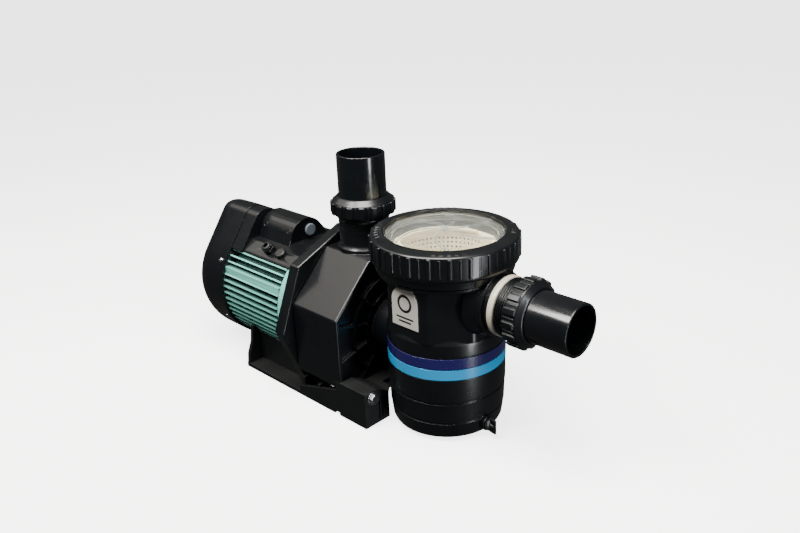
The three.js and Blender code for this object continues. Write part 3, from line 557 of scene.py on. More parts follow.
# %% Discharge neck and the bores
neck = [(26.5, 190), (37.8, 190), (37.8, 202.5), (36.9, 204), (34.5, 206.5), (33.2, 210)]
for ridge in range(3):
    start = 225 + ridge * 4.4
    neck += [(33.1, start), (33.5, start + 0.8), (33.5, start + 2.2), (33.1, start + 3)]
neck += [(33.1, 239), (34.4, 240.6), (34.9, 242)]
for ridge in range(5):
    start = 243 + ridge * 3
    neck += [(34.4, start), (35.3, start + 1.1), (34.4, start + 2.2)]
neck += [(34.6, 258.2), (26.5, 258.2)]
neck = moved(spun(neck, 96), at(PORT_X, 0, 0))
outlet = moved(rod(26.5, 150, 240), at(PORT_X, 0, 0))
bores = moved(spun([(0, VOLUTE_BACK - 1), (74, VOLUTE_BACK - 1), (74, -8), (30, -8), (30, 40), (0, 40)],
                   96), ON_SHAFT)
casing = solved(solved(casing, bores), outlet)
web = solved(web, moved(rod(30, 0, 40), ON_SHAFT))
piece("Volute casing", joined(casing, spokes, web, neck), "black_gloss", "volute_casing")

# %% [markdown]
# ## Seal plate and its bolts
# A thick plate with a point-up outline closes the casing on the motor side. Four hexagon bolts with
# washers hold it. A bolt head is a six-sided cone blank with its top edge turned off, over a washer.

# %% Seal plate
PLATE_BACK = min(span("seal_plate", "x"))
plate_outline = [(-84, 6), (84, 6), (119.5, 98), (85, 183), (0, 218.5), (-85, 183), (-119.5, 98)]
plate = softened(pushed(plate_outline, 17.8), 2.0, segments=4)
boss = softened(spun([(20.8, 16), (27, 16), (27, 27.3), (20.8, 27.3)], 72), 0.6)
plate = moved(plate, at(PLATE_BACK, 0, 0) @ TO_X)
seat = moved(spun([(0, -1), (11.5, -1), (11.5, 8.3), (20.6, 8.3), (20.6, 40), (0, 40)], 72),
             at(PLATE_BACK, 0, SHAFT_Z) @ TO_X)
plate = solved(plate, seat)
piece("Seal plate", joined(plate, moved(boss, at(PLATE_BACK, 0, SHAFT_Z) @ TO_X)), "black_gloss",
      "seal_plate")


# %% Bolts
def hex_bolt(across, head, shank_radius, shank, washer):
    """Head up: the washer's underside is at zero and the shank hangs below."""
    bm = bmesh.new()
    bmesh.ops.create_cone(bm, segments=6, radius1=across / math.sqrt(3) * MM,
                          radius2=across / math.sqrt(3) * MM,
                          depth=head * MM, cap_ends=True, matrix=at(0, 0, 1.2 + head / 2))
    top = softened(bm, 0.7, degrees=50, segments=3,
                   pick=lambda e: min(v.co.z for v in e.verts) > (1 + head) * MM)
    disc = softened(spun([(0, 0), (washer, 0), (washer, 1.4), (0, 1.4)], 40), 0.3)
    stem = rod(shank_radius, -shank, 0.5, 24)
    return joined(top, disc, stem)


for number in range(1, 5):
    node = f"casing_bolt_{number}"
    place = at(span("seal_plate", "x")[0] - 0.2, middle(node, "y"), middle(node, "z"))
    bolt = moved(hex_bolt(11, 4.6, 3, 38, 6.4), place @ TO_X @ Matrix.Rotation(math.pi, 4, "Y"))
    piece(f"Casing bolt {number}", bolt, "bright_steel", node)

for side in ("left", "right"):
    node = f"foot_bolt_{side}"
    place = at(span("front_foot", "x")[1] + 0.3, middle(node, "y"), 40)
    bolt = moved(hex_bolt(12.4, 4.6, 4, 30, 8.8), place @ TO_X)
    piece(f"Foot bolt {side}", bolt, "bright_steel", node)

# %% [markdown]
# ## Strainer pot
# Below, the pot is a turned cup with two fine grooves and a wide one that carries the coloured
# band. Above, it turns into an eight-sided body with rounded corners. A profile spun in only eight
# steps gives the flats, and a bevel along its upright edges gives the corners.

# %% Cup and eight-sided body
BAND_LOW, BAND_HIGH = span("band_light", "z")[0], span("band_dark", "z")[1]
cup = [(0, 3), (60, 3), (66, 3.6), (69.4, 5.6), (71, 9), (73, 25.4), (71.9, 25.8), (71.9, 27.9),
       (73.5, 28.4), (74.3, 53.8), (73, 54.2), (73, 56.3), (74.8, 56.8), (75, 60), (75, BAND_LOW - 0.8),
       (74.6, BAND_LOW - 0.3), (73.8, BAND_LOW - 0.3), (73.8, BAND_HIGH + 0.3), (74.3, BAND_HIGH + 0.6),
       (74.3, BAND_HIGH + 2), (75, BAND_HIGH + 2.6), (75, 133), (74.6, 135), (71, 141), (68, 141),
       (68, 60), (66.5, 14), (62, 9), (0, 9)]
cup = spun(cup, 144)
passage = moved(rod(30, -120, -40), ON_SHAFT)
cup = solved(cup, passage)

FLAT, WALL = 72.0, 66.8
corner = math.cos(math.pi / 8)
upper = moved(spun([(FLAT / corner, 136), (FLAT / corner, 206), (WALL / corner, 206),
                    (WALL / corner, 136)], 8), Matrix.Rotation(math.pi / 8, 4, "Z"))
upper = softened(upper, 5.0, degrees=40, segments=6,
                 pick=lambda e: abs(e.verts[0].co.z - e.verts[1].co.z) > 0.02
                 and e.verts[0].co.xy.length > 0.075)
inlet = moved(rod(26.5, 50, 100), ON_PORT)
upper = solved(upper, inlet)
print("cup and flats ready")

# %% [markdown]
# The mouth flares out under the lock ring and carries the seat for the lid's seal. The suction boss
# steps down towards the nipple, and a plain neck leads back to the casing. The drain boss is a small
# stub low on the suction side.

# %% Mouth, boss, neck and drain boss
mouth = spun([(68, 200), (70, 200), (70.2, 203.2), (72, 204.2), (80, 205), (83.4, 205.2), (84, 206),
              (84, 208.8), (83.2, 209.5), (81, 210), (81, 235.6), (80.6, 236), (71.2, 236), (70.8, 235.6),
              (70.8, 224.5), (68, 224.5)], 144)
mouth = solved(mouth, moved(rod(26.5, 50, 78), ON_PORT))
boss = spun([(26.5, 64), (45, 64), (46, 65), (46, 67.5), (40.4, 79.5), (40, 81), (40, 86.4), (39.2, 87.2),
             (36, 87.2), (36, 92.7), (33.1, 92.7), (33.1, 87.7), (26.5, 87.7)], 96)
boss = moved(boss, ON_PORT)
neck = moved(spun([(30, -93), (42, -93), (42, -60), (30, -60)], 96), ON_SHAFT)
drain_turn = Matrix.Rotation(math.radians(-8), 4, "Z")
drain_boss = spun([(5.3, 62), (9.5, 62), (9.5, 77.4), (9, 78), (5.3, 78)], 40)
drain_boss = moved(drain_boss, drain_turn @ at(0, 0, 18) @ TO_X)
pot = moved(joined(cup, upper, mouth, boss, neck, drain_boss), at(POT_X, 0, 0))
piece("Strainer pot", pot, "black_gloss", "strainer_pot")

# %% [markdown]
# The coloured band is two thin hoops side by side in the wide groove, with softened outer edges.
# Both stop where the neck leaves the pot, so the same neck shape is cut from each.

# %% Coloured bands
for node, slot in (("band_light", "light_blue"), ("band_dark", "dark_blue")):
    low, high = span(node, "z")
    hoop = spun([(74.1, low), (74.9, low), (75.15, low + 0.3), (75.15, high - 0.3), (74.9, high),
                 (74.1, high)], 144)
    hoop = solved(hoop, moved(rod(42.5, -100, -40), ON_SHAFT))
    piece(f"Band {slot.split('_')[0]}", moved(hoop, at(POT_X, 0, 0)), slot, node)

# %% [markdown]
# A plain arched plate sits on the pot's front flat. In place of any printed mark it carries a plain
# ring and two bars, so it reads as a label without saying anything.

# %% Badge plate
badge_low, badge_high = span("badge_plate", "z")
half = radius_of("badge_plate", "x")
arch = [(half * math.cos(math.pi * i / 24),
         badge_high - half + half * math.sin(math.pi * i / 24)) for i in range(25)]
outline = [(-half, badge_low), (half, badge_low), *arch]
STAND_UP = Matrix(((1, 0, 0, 0), (0, 0, -1, 0), (0, 1, 0, 0), (0, 0, 0, 1)))
face_y = span("badge_plate", "y")[1]
plate = softened(pushed(outline, 0.85), 0.3, degrees=50)
piece("Badge plate", moved(plate, at(POT_X, face_y, 0) @ STAND_UP), "badge_silver", "badge_plate")

mark = spun([(8.2, 0), (11.4, 0), (11.4, 0.12), (8.2, 0.12)], 64)
mark = moved(mark, at(0, badge_high - half - 1, 0))
bars = [block((-w, badge_low + h, 0), (w, badge_low + h + 2.2, 0.12)) for w, h in ((14, 11), (10, 6))]
mark = moved(joined(mark, *bars), at(POT_X, face_y - 0.86, 0) @ STAND_UP)
piece("Badge mark", mark, "black_satin", body=BODY_OF["badge_plate"])

# %% [markdown]
# ## Lock ring
# The ring screws over the pot's mouth. Its skirt narrows to a lip at the bottom, its side carries
# twenty-four grip ribs and its top slopes in to the window. Short raised dashes on the top stand
# where such rings carry open and close marks.

# %% Lock ring
ring_x = radius_of("lid_lock_ring", "x", "y")
ring_bottom, ring_top = span("lid_lock_ring", "z")
shell = [(82.2, ring_bottom), (85.2, ring_bottom), (85.8, ring_bottom + 0.6), (86.4, 219), (87.4, 220.6),
         (90, 221.8), (90.8, 223), (90.9, 226), (90.9, 249.4), (90.4, 250.9), (89, 252), (86, 252.9),
         (78, 254.6), (75.2, ring_top), (74.2, ring_top - 0.3), (73.8, ring_top - 1.2), (73.8, 247),
         (82.2, 247)]
shell = spun(shell, 144)
rib = softened(block((ring_x - 3.4, -2.3, 225.4), (ring_x, 2.3, 250.4)), 1.3, segments=3)
ribs = repeated(rib, around(24))
flute = softened(block((90.2, -1.0, 226), (91.5, 1.0, 249)), 0.5)
flutes = repeated(flute, around(24, start=7.5))
dash = softened(block((80.6, -2.2, 251.6), (85.6, 2.2, 254.1)), 0.45)
slope = Matrix.Rotation(math.radians(11.5), 4, "Y")
dash = moved(dash, at(83.1, 0, 252.9) @ slope @ at(-83.1, 0, -252.9))
dashes = repeated(dash, [Matrix.Rotation(math.radians(a), 4, "Z") for base in (0, 90, 180, 270) for a in
                         (base + 33, base + 39, base + 45, base + 51, base + 57)])
ring = moved(joined(shell, ribs, flutes, dashes), at(POT_X, 0, 0))
piece("Lock ring", ring, "black_gloss", "lid_lock_ring")

# %% [markdown]
# ## Clear lid
# The window is a shallow dome with a skirt that dips into the pot. Six curved stiffening ribs swirl
# from its middle. Each rib is a small square section spun through part of a turn about a point
# beside the rib, then lifted so that it lies on the dome.

# %% Dome and swirl ribs
DOME_R, DOME_TOP = 72.4, span("clear_lid", "z")[1]


def dome_height(r):
    return DOME_TOP - 0.9 - 4.4 * (r / DOME_R) ** 2.6


dome = [(0, dome_height(0))] + [(r, dome_height(r)) for r in (10, 20, 30, 40, 50, 58, 64, 68, 71)]
dome += [(72.4, 250.4), (73.2, 249), (73.2, 246.6), (80.2, 246.6), (80.8, 246), (80.8, 240.6),
         (80.2, 240), (69, 240), (68.5, 240.6), (67.6, 246.6)]
dome += [(r, dome_height(r) - 3.2) for r in (64, 58, 50, 40, 30, 20, 10)] + [(0, dome_height(0) - 3.2)]
dome = spun(dome, 128)

CHORD, SAG = 68.0, 13.5
arc_radius = ((CHORD / 2) ** 2 + SAG**2) / (2 * SAG)
sweep = 2 * math.asin(CHORD / 2 / arc_radius)
swirl = bmesh.new()
section = bmesh.ops.create_grid(swirl, x_segments=1, y_segments=1, size=0.5,
                                matrix=Matrix.Diagonal((2.8 * MM, 2.0 * MM, 1, 1)))["verts"]
start = Vector((0, 0, 0))
centre = Vector((CHORD / 2, arc_radius - SAG, 0)) * MM
outward = (start - centre).normalized()
frame_at_start = Matrix((outward, (0, 0, 1), outward.cross(Vector((0, 0, 1))))).transposed().to_4x4()
bmesh.ops.transform(swirl, matrix=frame_at_start, verts=section)
bmesh.ops.spin(swirl, geom=swirl.faces[:], cent=centre, axis=(0, 0, 1), angle=sweep, steps=28)
for vert in swirl.verts:
    vert.co.z += (dome_height(min(vert.co.xy.length / MM, DOME_R)) + 0.45) * MM
swirls = repeated(tidy(swirl), around(6, start=-45))
button = softened(spun([(0, 250), (4, 250), (4, DOME_TOP - 0.05), (0, DOME_TOP - 0.05)], 40), 0.4)
lid = moved(joined(dome, swirls, button), at(POT_X, 0, 0))
piece("Clear lid", lid, "clear_plastic", "clear_lid")

# %% [markdown]
# ## Basket and bail
# The basket is a tapered cup of cream plastic pierced by a square grid of small holes. A wall made
# of a fine grid of faces loses every other face in both directions, and solidifying what is left
# gives real holes. The wall stays whole round the inlet, which is then bored cleanly.

# %% Basket
BASKET_LOW, BASKET_HIGH = span("strainer_basket", "z")
COLUMNS, ROWS = 144, 58
foot = BASKET_LOW + 4
pitch = (BASKET_HIGH - 4 - foot) / ROWS
wall = bmesh.new()
points = [wall.verts.new(((60 + 4.4 * i / ROWS) * MM, 0, (foot + i * pitch) * MM)) for i in range(ROWS + 1)]
edges = [wall.edges.new(pair) for pair in zip(points, points[1:])]
bmesh.ops.spin(wall, geom=points + edges, cent=(0, 0, 0), axis=(0, 0, 1), angle=2 * math.pi,
               steps=COLUMNS, use_merge=True)
tidy(wall)
holes = []
for face in wall.faces:
    spot = face.calc_center_median() / MM
    column = int((math.atan2(spot.y, spot.x) % (2 * math.pi)) / (2 * math.pi) * COLUMNS)
    row = int((spot.z - foot) / pitch)
    near_inlet = spot.x > 0 and math.hypot(spot.y, spot.z - PORT_Z) < 33
    if column % 2 and row % 2 and 1 < row < ROWS - 2 and not near_inlet:
        holes.append(face)
bmesh.ops.delete(wall, geom=holes, context="FACES")
bmesh.ops.solidify(wall, geom=wall.faces[:], thickness=2.0 * MM)
wall = solved(tidy(wall), moved(rod(27.5, 40, 80), ON_PORT))
rim = spun([(61.6, 222.6), (64.8, 222.6), (65, 226), (69.8, 226), (70.3, 226.5), (70.3, 229),
            (69.8, BASKET_HIGH), (63, BASKET_HIGH), (62.2, 228.8)], 128)
floor_disc = softened(spun([(0, BASKET_LOW), (59.6, BASKET_LOW), (60.2, BASKET_LOW + 4.6),
                            (57.6, BASKET_LOW + 4.6), (56.6, BASKET_LOW + 2.4), (0, BASKET_LOW + 2.4)],
                           96), 0.5)
basket = moved(joined(wall, rim, floor_disc), at(POT_X, 0, 0))
piece("Strainer basket", basket, "cream_plastic", "strainer_basket")

# %% Bail handle
BAIL_Z = middle("basket_handle", "z")
section = [(57.4, -1.4), (61.1, -1.4), (61.4, -1.0), (61.4, 1.0), (61.1, 1.4), (57.4, 1.4), (57.1, 1.0),
           (57.1, -1.0)]
bow = moved(spun(section, 64, turn=180), Matrix.Rotation(math.pi / 2, 4, "Z"))
bmesh.ops.holes_fill(bow, edges=bow.edges)
grip = softened(block((-61.4, -9, -1.5), (-56.6, 9, 1.5)), 0.8)
eyes = [moved(softened(spun([(0, -1.8), (1.5, -1.8), (1.5, 1.8), (0, 1.8)], 24), 0.3),
              at(0, y, 0) @ Matrix.Rotation(math.pi / 2, 4, "X")) for y in (-59.3, 59.3)]
bail = moved(joined(bow, grip, *eyes), at(POT_X, 0, BAIL_Z))
piece("Bail handle", bail, "cream_plastic", "basket_handle")

# %% [markdown]
# ## Drain plug
# A small wing plug closes the pot's foot. The wing is a flat tab with generous rounding over a
# ribbed collar, so that it can be turned by hand.

# %% Drain plug
collar = softened(spun([(0, 78.4), (8, 78.4), (8, 82), (5.2, 83.4), (0, 83.4)], 48), 0.4)
knurl = repeated(softened(block((7.2, -0.5, 78.7), (8.0, 0.5, 81.7)), 0.2), around(20))
tab = softened(block((-1.6, -10, 80), (1.6, 10, 91.4)), 1.5, segments=3)
bosslet = softened(spun([(0, 82), (4.2, 82), (3, 88.5), (0, 88.5)], 32), 0.6)
stem = rod(5, 67, 79, 32)
plug = moved(joined(collar, knurl, tab, bosslet, stem), TO_X)
plug = moved(plug, at(POT_X, 0, 18) @ drain_turn)
piece("Drain plug", plug, "black_satin", "drain_plug")

# %% [markdown]
# ## Unions
# Each port ends in a union: a threaded end, a big nut with rounded grip pads and a smooth pipe
# spigot held by the nut. One set of shapes is made along Z and placed twice. The nut's shoulder is
# a cone that closes down to the pipe.

# %% Union nuts and spigots
def union_nut():
    shell = [(36, 0), (38.6, 0), (39.6, 0.5), (40.4, 1.6), (40.6, 3), (40.6, 17.2), (40.2, 18.2),
             (39, 19.1), (35.4, 22.6), (34.2, 23.9), (33.2, 24.4), (32, 24.4), (32, 18.2), (36, 18.2)]
    pad = softened(block((39.4, -4.4, 0.9), (43, 4.4, 17.5)), 2.1, segments=4)
    groove = softened(block((40.2, -1.0, 1.5), (41.3, 1.0, 16.8)), 0.45)
    return joined(spun(shell, 96), repeated(pad, around(16)), repeated(groove, around(16, start=11.25)))


def spigot():
    reach = span("discharge_spigot", "z")[1] - span("discharge_union_nut", "z")[0]
    return spun([(28.5, 13.6), (35.2, 13.6), (35.4, 13.9), (35.4, 17.3), (35.0, 17.6), (31.5, 17.6),
                 (31.5, reach - 1.0), (31.2, reach - 0.3), (30.7, reach), (28.9, reach),
                 (28.5, reach - 0.5)], 128)


for port, place in (
    ("suction", at(span("suction_union_nut", "x")[0], 0, PORT_Z) @ TO_X),
    ("discharge", at(PORT_X, 0, span("discharge_union_nut", "z")[0])),
):
    piece(f"{port.title()} union nut", moved(union_nut(), place), "black_gloss", f"{port}_union_nut")
    piece(f"{port.title()} spigot", moved(spigot(), place), "pipe_black", f"{port}_spigot")
    seal = softened(spun([(29, 12.1), (34, 12.1), (34, 13.3), (29, 13.3)], 72), 0.35)
    piece(f"{port.title()} union seal", moved(seal, place), "rubber", f"{port}_union_seal")

# %% [markdown]
# The suction nipple screws into the pot behind a pale ring. Its collar shows a few turns of coarse
# ridges before the nut hides the thread.

# %% Nipple and pale ring
NIPPLE_LOW, NIPPLE_HIGH = span("suction_nipple", "x")
RING_LOW, RING_HIGH = span("suction_gasket_ring", "x")
collar = [(26.5, NIPPLE_LOW), (32.6, NIPPLE_LOW), (32.6, RING_HIGH + 0.3), (34.6, RING_HIGH + 0.3)]
for ridge in range(5):
    start = RING_HIGH + 0.7 + ridge * 2.85
    collar += [(34.8, start), (36, start + 0.7), (36, start + 1.5), (34.8, start + 2.2)]
collar += [(35.3, span("suction_union_nut", "x")[0]), (35.3, NIPPLE_HIGH), (26.5, NIPPLE_HIGH)]
piece("Suction nipple", moved(spun(collar, 96), ON_PORT), "black_gloss", "suction_nipple")

pale = [(33.1, RING_LOW), (36, RING_LOW), (37, RING_LOW + 1.2), (37, RING_HIGH - 1.6),
        (36.2, RING_HIGH - 0.4), (35, RING_HIGH), (33.1, RING_HIGH)]
piece("Pale ring", moved(spun(pale, 96), ON_PORT), "white_ring", "suction_gasket_ring")

# %% [markdown]
# ## Motor frame and shields
# The finned frame and the slab-sided base are already right in the CAD: straight fins and flat
# faces. The frame is taken as a copy, joined up so that it shades well; the base keeps its own
# nodes and only gets its finish. The end shields are turned castings, so they are spun again.

# %% Frame and shields
piece("Motor frame", smoothed_copy("motor_frame"), "teal_paint", "motor_frame", crease=25)

shield = [(11, -85.2), (69.4, -85.2), (70, -86), (70, -103.8), (89.6, -103.8), (90.5, -104.7),
          (90.5, -114.8), (89.6, -115.7), (66, -115.7), (66, -110), (24, -110), (24, -93.8), (11, -93.8)]
low, high, top = *span("front_end_shield", "x"), span("front_end_shield", "z")[1]
kept = solved(moved(rod(76.8, low - 10, high, 128), ON_SHAFT),
              block((low - 20, -100, 0), (high + 10, 100, top)), "INTERSECT")
under_box = solved(block((low - 5, -100, span("terminal_box", "z")[0] - 0.3), (-100, 100, 200)), kept)
shield = solved(moved(spun(shield, 128), ON_SHAFT), under_box)
piece("Front end shield", shield, "teal_paint", "front_end_shield")
shield = [(11, -256.6), (30, -256.6), (30, -250), (83.4, -250), (84, -250.6), (84, -258.4), (84.6, -259),
          (90.6, -259), (91.4, -258.2), (91.4, -242.9), (24, -242.9), (24, -255), (11, -255)]
piece("Rear end shield", moved(spun(shield, 128), ON_SHAFT), "cast_grey", "rear_end_shield")

for node, slot in (("base_frame", "black_satin"), ("front_foot", "black_satin"),
                   ("terminal_block", "cream_plastic")):
    frame["nodes"][node].material_slots[0].material = MATERIAL[slot]
    print(f"{node}: kept, {slot}")

# %% [markdown]
# ## Fan cover and terminal box
# One hull runs over the fan and the rear of the terminal box: a big circle round the motor and two
# small ones on top. The convex hull of those circles, repeated along the shaft and shrunk towards
# the rear, is exactly that shape with a rounded tail.

# %% The hull
COVER_R = radius_of("fan_cover", "y")
COVER_BACK, COVER_FRONT = span("fan_cover", "x")
CROWN = span("fan_cover", "z")[1]
HULL_CIRCLES = [(0, SHAFT_Z, COVER_R), (-22, CROWN - 22, 22), (0, CROWN - 33, 22)]
ROUND_FROM, ROUND_BY = -282, 17
SKIN = 2.5


def wrapped(sections, steps=96):
    """The convex hull of the three circles at each (x, inset)."""
    bm = bmesh.new()
    for x, inset in sections:
        for y, z, r in HULL_CIRCLES:
            bmesh.ops.create_circle(bm, segments=steps, radius=(r - inset) * MM, matrix=at(x, y, z) @ TO_X)
    hull = bmesh.ops.convex_hull(bm, input=bm.verts[:])
    inner = {g for g in hull["geom_interior"] + hull["geom_unused"] if isinstance(g, bmesh.types.BMVert)}
    bmesh.ops.delete(bm, geom=list(inner), context="VERTS")
    bmesh.ops.delete(bm, geom=[e for e in bm.edges if not e.link_faces], context="EDGES")
    bmesh.ops.dissolve_limit(bm, angle_limit=math.radians(0.2), verts=bm.verts, edges=bm.edges)
    return tidy(bm)


def tail(inset, back):
    """Sections of the rounded rear end."""
    steps = [math.sin(i * math.pi / 20) for i in range(10)]
    return [(ROUND_FROM + (back - ROUND_FROM) * t,
             inset + ROUND_BY * (1 - math.sqrt(1 - t * t))) for t in steps]


# %% [markdown]
# The cover is the hull with a smaller hull taken out of it, open towards the motor. Its rear face
# is a grille of level slots either side of a middle bar, each with rounded corners.

# %% Fan cover
skin = wrapped([(COVER_FRONT, 0)] + tail(0, COVER_BACK))
hollow = wrapped([(COVER_FRONT + 2, SKIN)] + tail(SKIN, COVER_BACK + SKIN))
slots = []
for row in range(-4, 5):
    reach = math.sqrt(66**2 - (row * 13) ** 2)
    for low, high in ((-reach, -4), (4, reach)):
        slots.append(softened(block((COVER_BACK - 3, low, SHAFT_Z + row * 13 - 3),
                                    (COVER_BACK + 9, high, SHAFT_Z + row * 13 + 3)),
                              2.2, segments=3,
                              pick=lambda e: abs(e.verts[0].co.x - e.verts[1].co.x) > 0.005))
cover = solved(solved(skin, hollow), joined(*slots))
piece("Fan cover", cover, "black_gloss", "fan_cover", crease=30)


# %% Fan cover screws
def pan_screw(radius, height, shank_radius, shank):
    head = spun([(0, height), (radius * 0.5, height * 0.94), (radius * 0.85, height * 0.66),
                 (radius, height * 0.25), (radius, 0), (0, 0)], 40)
    cross = block((-radius * 0.6, -0.5, height * 0.4), (radius * 0.6, 0.5, height * 2))
    head = solved(head, cross)
    cross = block((-0.5, -radius * 0.6, height * 0.4), (0.5, radius * 0.6, height * 2))
    return joined(solved(head, cross), rod(shank_radius, -shank, 0.4, 24))


for number, degrees in enumerate((28.5, 151.5, 208.5, 331.5), start=1):
    node = f"fan_cover_screw_{number}"
    turn = Matrix.Rotation(math.radians(degrees - 90), 4, "X")
    place = at(middle(node, "x"), 0, SHAFT_Z) @ turn @ at(0, 0, COVER_R + 0.2)
    piece(f"Fan cover screw {number}", moved(pan_screw(4.2, 2.4, 2, 8), place), "bright_steel", node)

# %% [markdown]
# The terminal box's rear part keeps the hull. Its cover is a round tube on shoulders that fall to a
# curved flange round the motor, and the flange runs on over the front shield. Underneath, both follow
# the motor frame; inside, both are hollow. The cover's shape is taken as a copy of its own node.

# %% Terminal box
rear_low, rear_high = span("terminal_box", "x")
front_low = span("terminal_box_cover", "x")[0]
LEDGE = span("terminal_box", "z")[0]
SADDLE_R = 77.6
saddle = solved(moved(rod(SADDLE_R, -300, 0, 128), ON_SHAFT),
                block((-310, -200, 0), (10, 200, 176.7)), "INTERSECT")
inside = block((-320, -200, 179.5), (0, 200, 320))

shell = solved(wrapped([(rear_low, 1), (rear_high, 1)]), saddle)
shell = solved(shell, block((-300, -200, LEDGE), (0, 200, 300)), "INTERSECT")
room = solved(wrapped([(rear_low - 4, 4), (rear_high - 3, 4)]), inside, "INTERSECT")
piece("Terminal box", solved(shell, room), "black_gloss", "terminal_box", crease=30)

cover = smoothed_copy("terminal_box_cover")
piece("Terminal box cover", cover, "black_gloss", "terminal_box_cover", crease=30)

# %% [markdown]
# Small fittings on the box: four sunk cover screws on the shoulders of its crown, the empty
# cable gland and a blanking plug on the near flank, and a round plug in the end face.

# %% Cover screws
TUBE_Y, TUBE_Z, TUBE_R = -4, 183, 29.5
FACE = -146.5
number = 0
for degrees in (152, 40):
    angle = math.radians(degrees)
    y, z = TUBE_Y + TUBE_R * math.cos(angle), TUBE_Z + TUBE_R * math.sin(angle)
    for x in (front_low + 9, FACE - 9):
        number += 1
        cup = softened(spun([(2.6, -1.4), (4.3, -1.4), (4.3, 0.25), (2.6, 0.25)], 40), 0.3)
        screw = softened(spun([(0, -1.4), (2.5, -1.4), (2.5, -0.3), (0, -0.3)], 32), 0.2)
        place = at(x, y, z) @ Matrix.Rotation(angle - math.pi / 2, 4, "X")
        piece(f"Box cover screw {number}", moved(joined(cup, screw), place), "black_satin",
              body="pump_body")

# %% Gland, plugs and capacitor
FLANK = at(0, -55.5, 174) @ Matrix.Rotation(math.radians(36.9), 4, "X")
gland_x, plug_x = middle("cable_gland_nut", "x"), middle("blanking_plug", "x")
nut = bmesh.new()
bmesh.ops.create_cone(nut, segments=6, radius1=9 * MM, radius2=9 * MM, depth=4.7 * MM, cap_ends=True,
                      matrix=at(0, 0, 2.65))
gland = joined(softened(nut, 0.6, segments=3), spun([(4, -4), (6, -4), (6, 1), (4, 1)], 40))
piece("Gland body", moved(gland, at(gland_x, 0, 0) @ FLANK), "black_satin", "cable_gland_body")

dome = spun([(4, 5.3), (7.4, 5.3), (7.6, 5.6), (7.6, 9), (6.4, 11), (5, 11.5), (4, 11.4)], 48)
grips = repeated(softened(block((7, -0.7, 5.6), (8, 0.7, 9.2)), 0.4), around(12))
piece("Gland nut", moved(joined(dome, grips), at(gland_x, 0, 0) @ FLANK), "black_satin", "cable_gland_nut")

plug = joined(softened(spun([(0, 0.3), (8, 0.3), (8, 2.6), (6.6, 4), (0, 4)], 48), 0.4), rod(5, -4, 1, 32))
piece("Blanking plug", moved(plug, at(plug_x, 0, 0) @ FLANK), "black_satin", "blanking_plug")

end_y, end_z = middle("box_end_plug", "y"), middle("box_end_plug", "z")
button = joined(softened(spun([(0, 0.3), (9, 0.3), (9, 2), (7.8, 3), (0, 3)], 64), 0.3),
                rod(7, -3, 0.6, 40))
piece("Box end plug", moved(button, at(FACE, end_y, end_z) @ TO_X), "grey_blue", "box_end_plug")

low, high = span("run_capacitor", "x")
can = [(0, low), (10, low), (12, low + 2), (12, high - 4), (11.4, high - 3.4), (11.4, high - 2.2),
       (12, high - 1.6), (11, high), (0, high)]
can = moved(spun(can, 48), at(0, middle("run_capacitor", "y"), middle("run_capacitor", "z")) @ TO_X)
piece("Run capacitor", can, "grey_blue", "run_capacitor")

# %% [markdown]
# ## What turns inside
# Tubes and rings along the shaft need only an inner radius; the rest comes from each node's box. A
# softened profile is spun for each. Bearings get a groove between their rings, and windings are
# rounded hard, as a taped bundle of wire is.

# %% Rings along the shaft
RINGS = [
    ("stator_core", 46, 0.5, "cast_grey"), ("rotor_core", 12.3, 0.8, "cast_grey"),
    ("stator_winding_front", 48, 5.0, "copper"), ("stator_winding_rear", 48, 5.0, "copper"),
    ("seal_rotating_face", 8.3, 0.8, "cast_grey"), ("seal_stationary_seat", 9.2, 1.0, "seal_ceramic"),
    ("pot_neck_seal", 31, 0.6, "rubber"),
]
for node, inner, edge, slot in RINGS:
    low, high = span(node, "x")
    outer = radius_of(node, "y", "z")
    ring = softened(spun([(inner, low), (outer, low), (outer, high), (inner, high)], 96), edge, segments=4)
    piece(node.replace("_", " ").capitalize(), moved(ring, ON_SHAFT), slot, node)

for node in ("front_bearing", "rear_bearing"):
    low, high = span(node, "x")
    profile = [(10.3, low), (13.4, low), (13.4, low + 0.8), (19.6, low + 0.8), (19.6, low), (23.6, low),
               (23.6, high), (19.6, high), (19.6, high - 0.8), (13.4, high - 0.8), (13.4, high),
               (10.3, high)]
    piece(node.replace("_", " ").capitalize(), moved(spun(profile, 72), ON_SHAFT),
          "bright_steel", node)

low, high = span("lid_o_ring", "z")
seal = bmesh.new()
place = at(76, 0, (low + high) / 2) @ Matrix.Rotation(math.pi / 2, 4, "X")
section = bmesh.ops.create_circle(seal, segments=12, radius=2.5 * MM,
                                  matrix=place @ Matrix.Diagonal((1, (high - low) / 5, 1, 1)))["verts"]
bmesh.ops.spin(seal, geom=section + seal.edges[:], cent=(0, 0, 0), axis=(0, 0, 1), angle=2 * math.pi,
               steps=96, use_merge=True)
piece("Lid seal", moved(tidy(seal), at(POT_X, 0, 0)), "rubber", "lid_o_ring")

# %% [markdown]
# The shaft is one turned bar. The impeller and the fan are discs with vanes: each vane is a thin
# rounded block, leaned over and repeated round the hub. The diffuser is a shallow bowl round the
# impeller.

# %% Shaft, impeller, diffuser and fan
shaft = [(0, -298), (8, -298), (8.5, -297.4), (8.5, -257), (10, -257), (10, -241), (12, -241), (12, -111),
         (10, -111), (10, -90), (8, -90), (8, -16.6), (7.4, -16), (0, -16)]
piece("Motor shaft", moved(spun(shaft, 72), ON_SHAFT), "bright_steel", "motor_shaft")

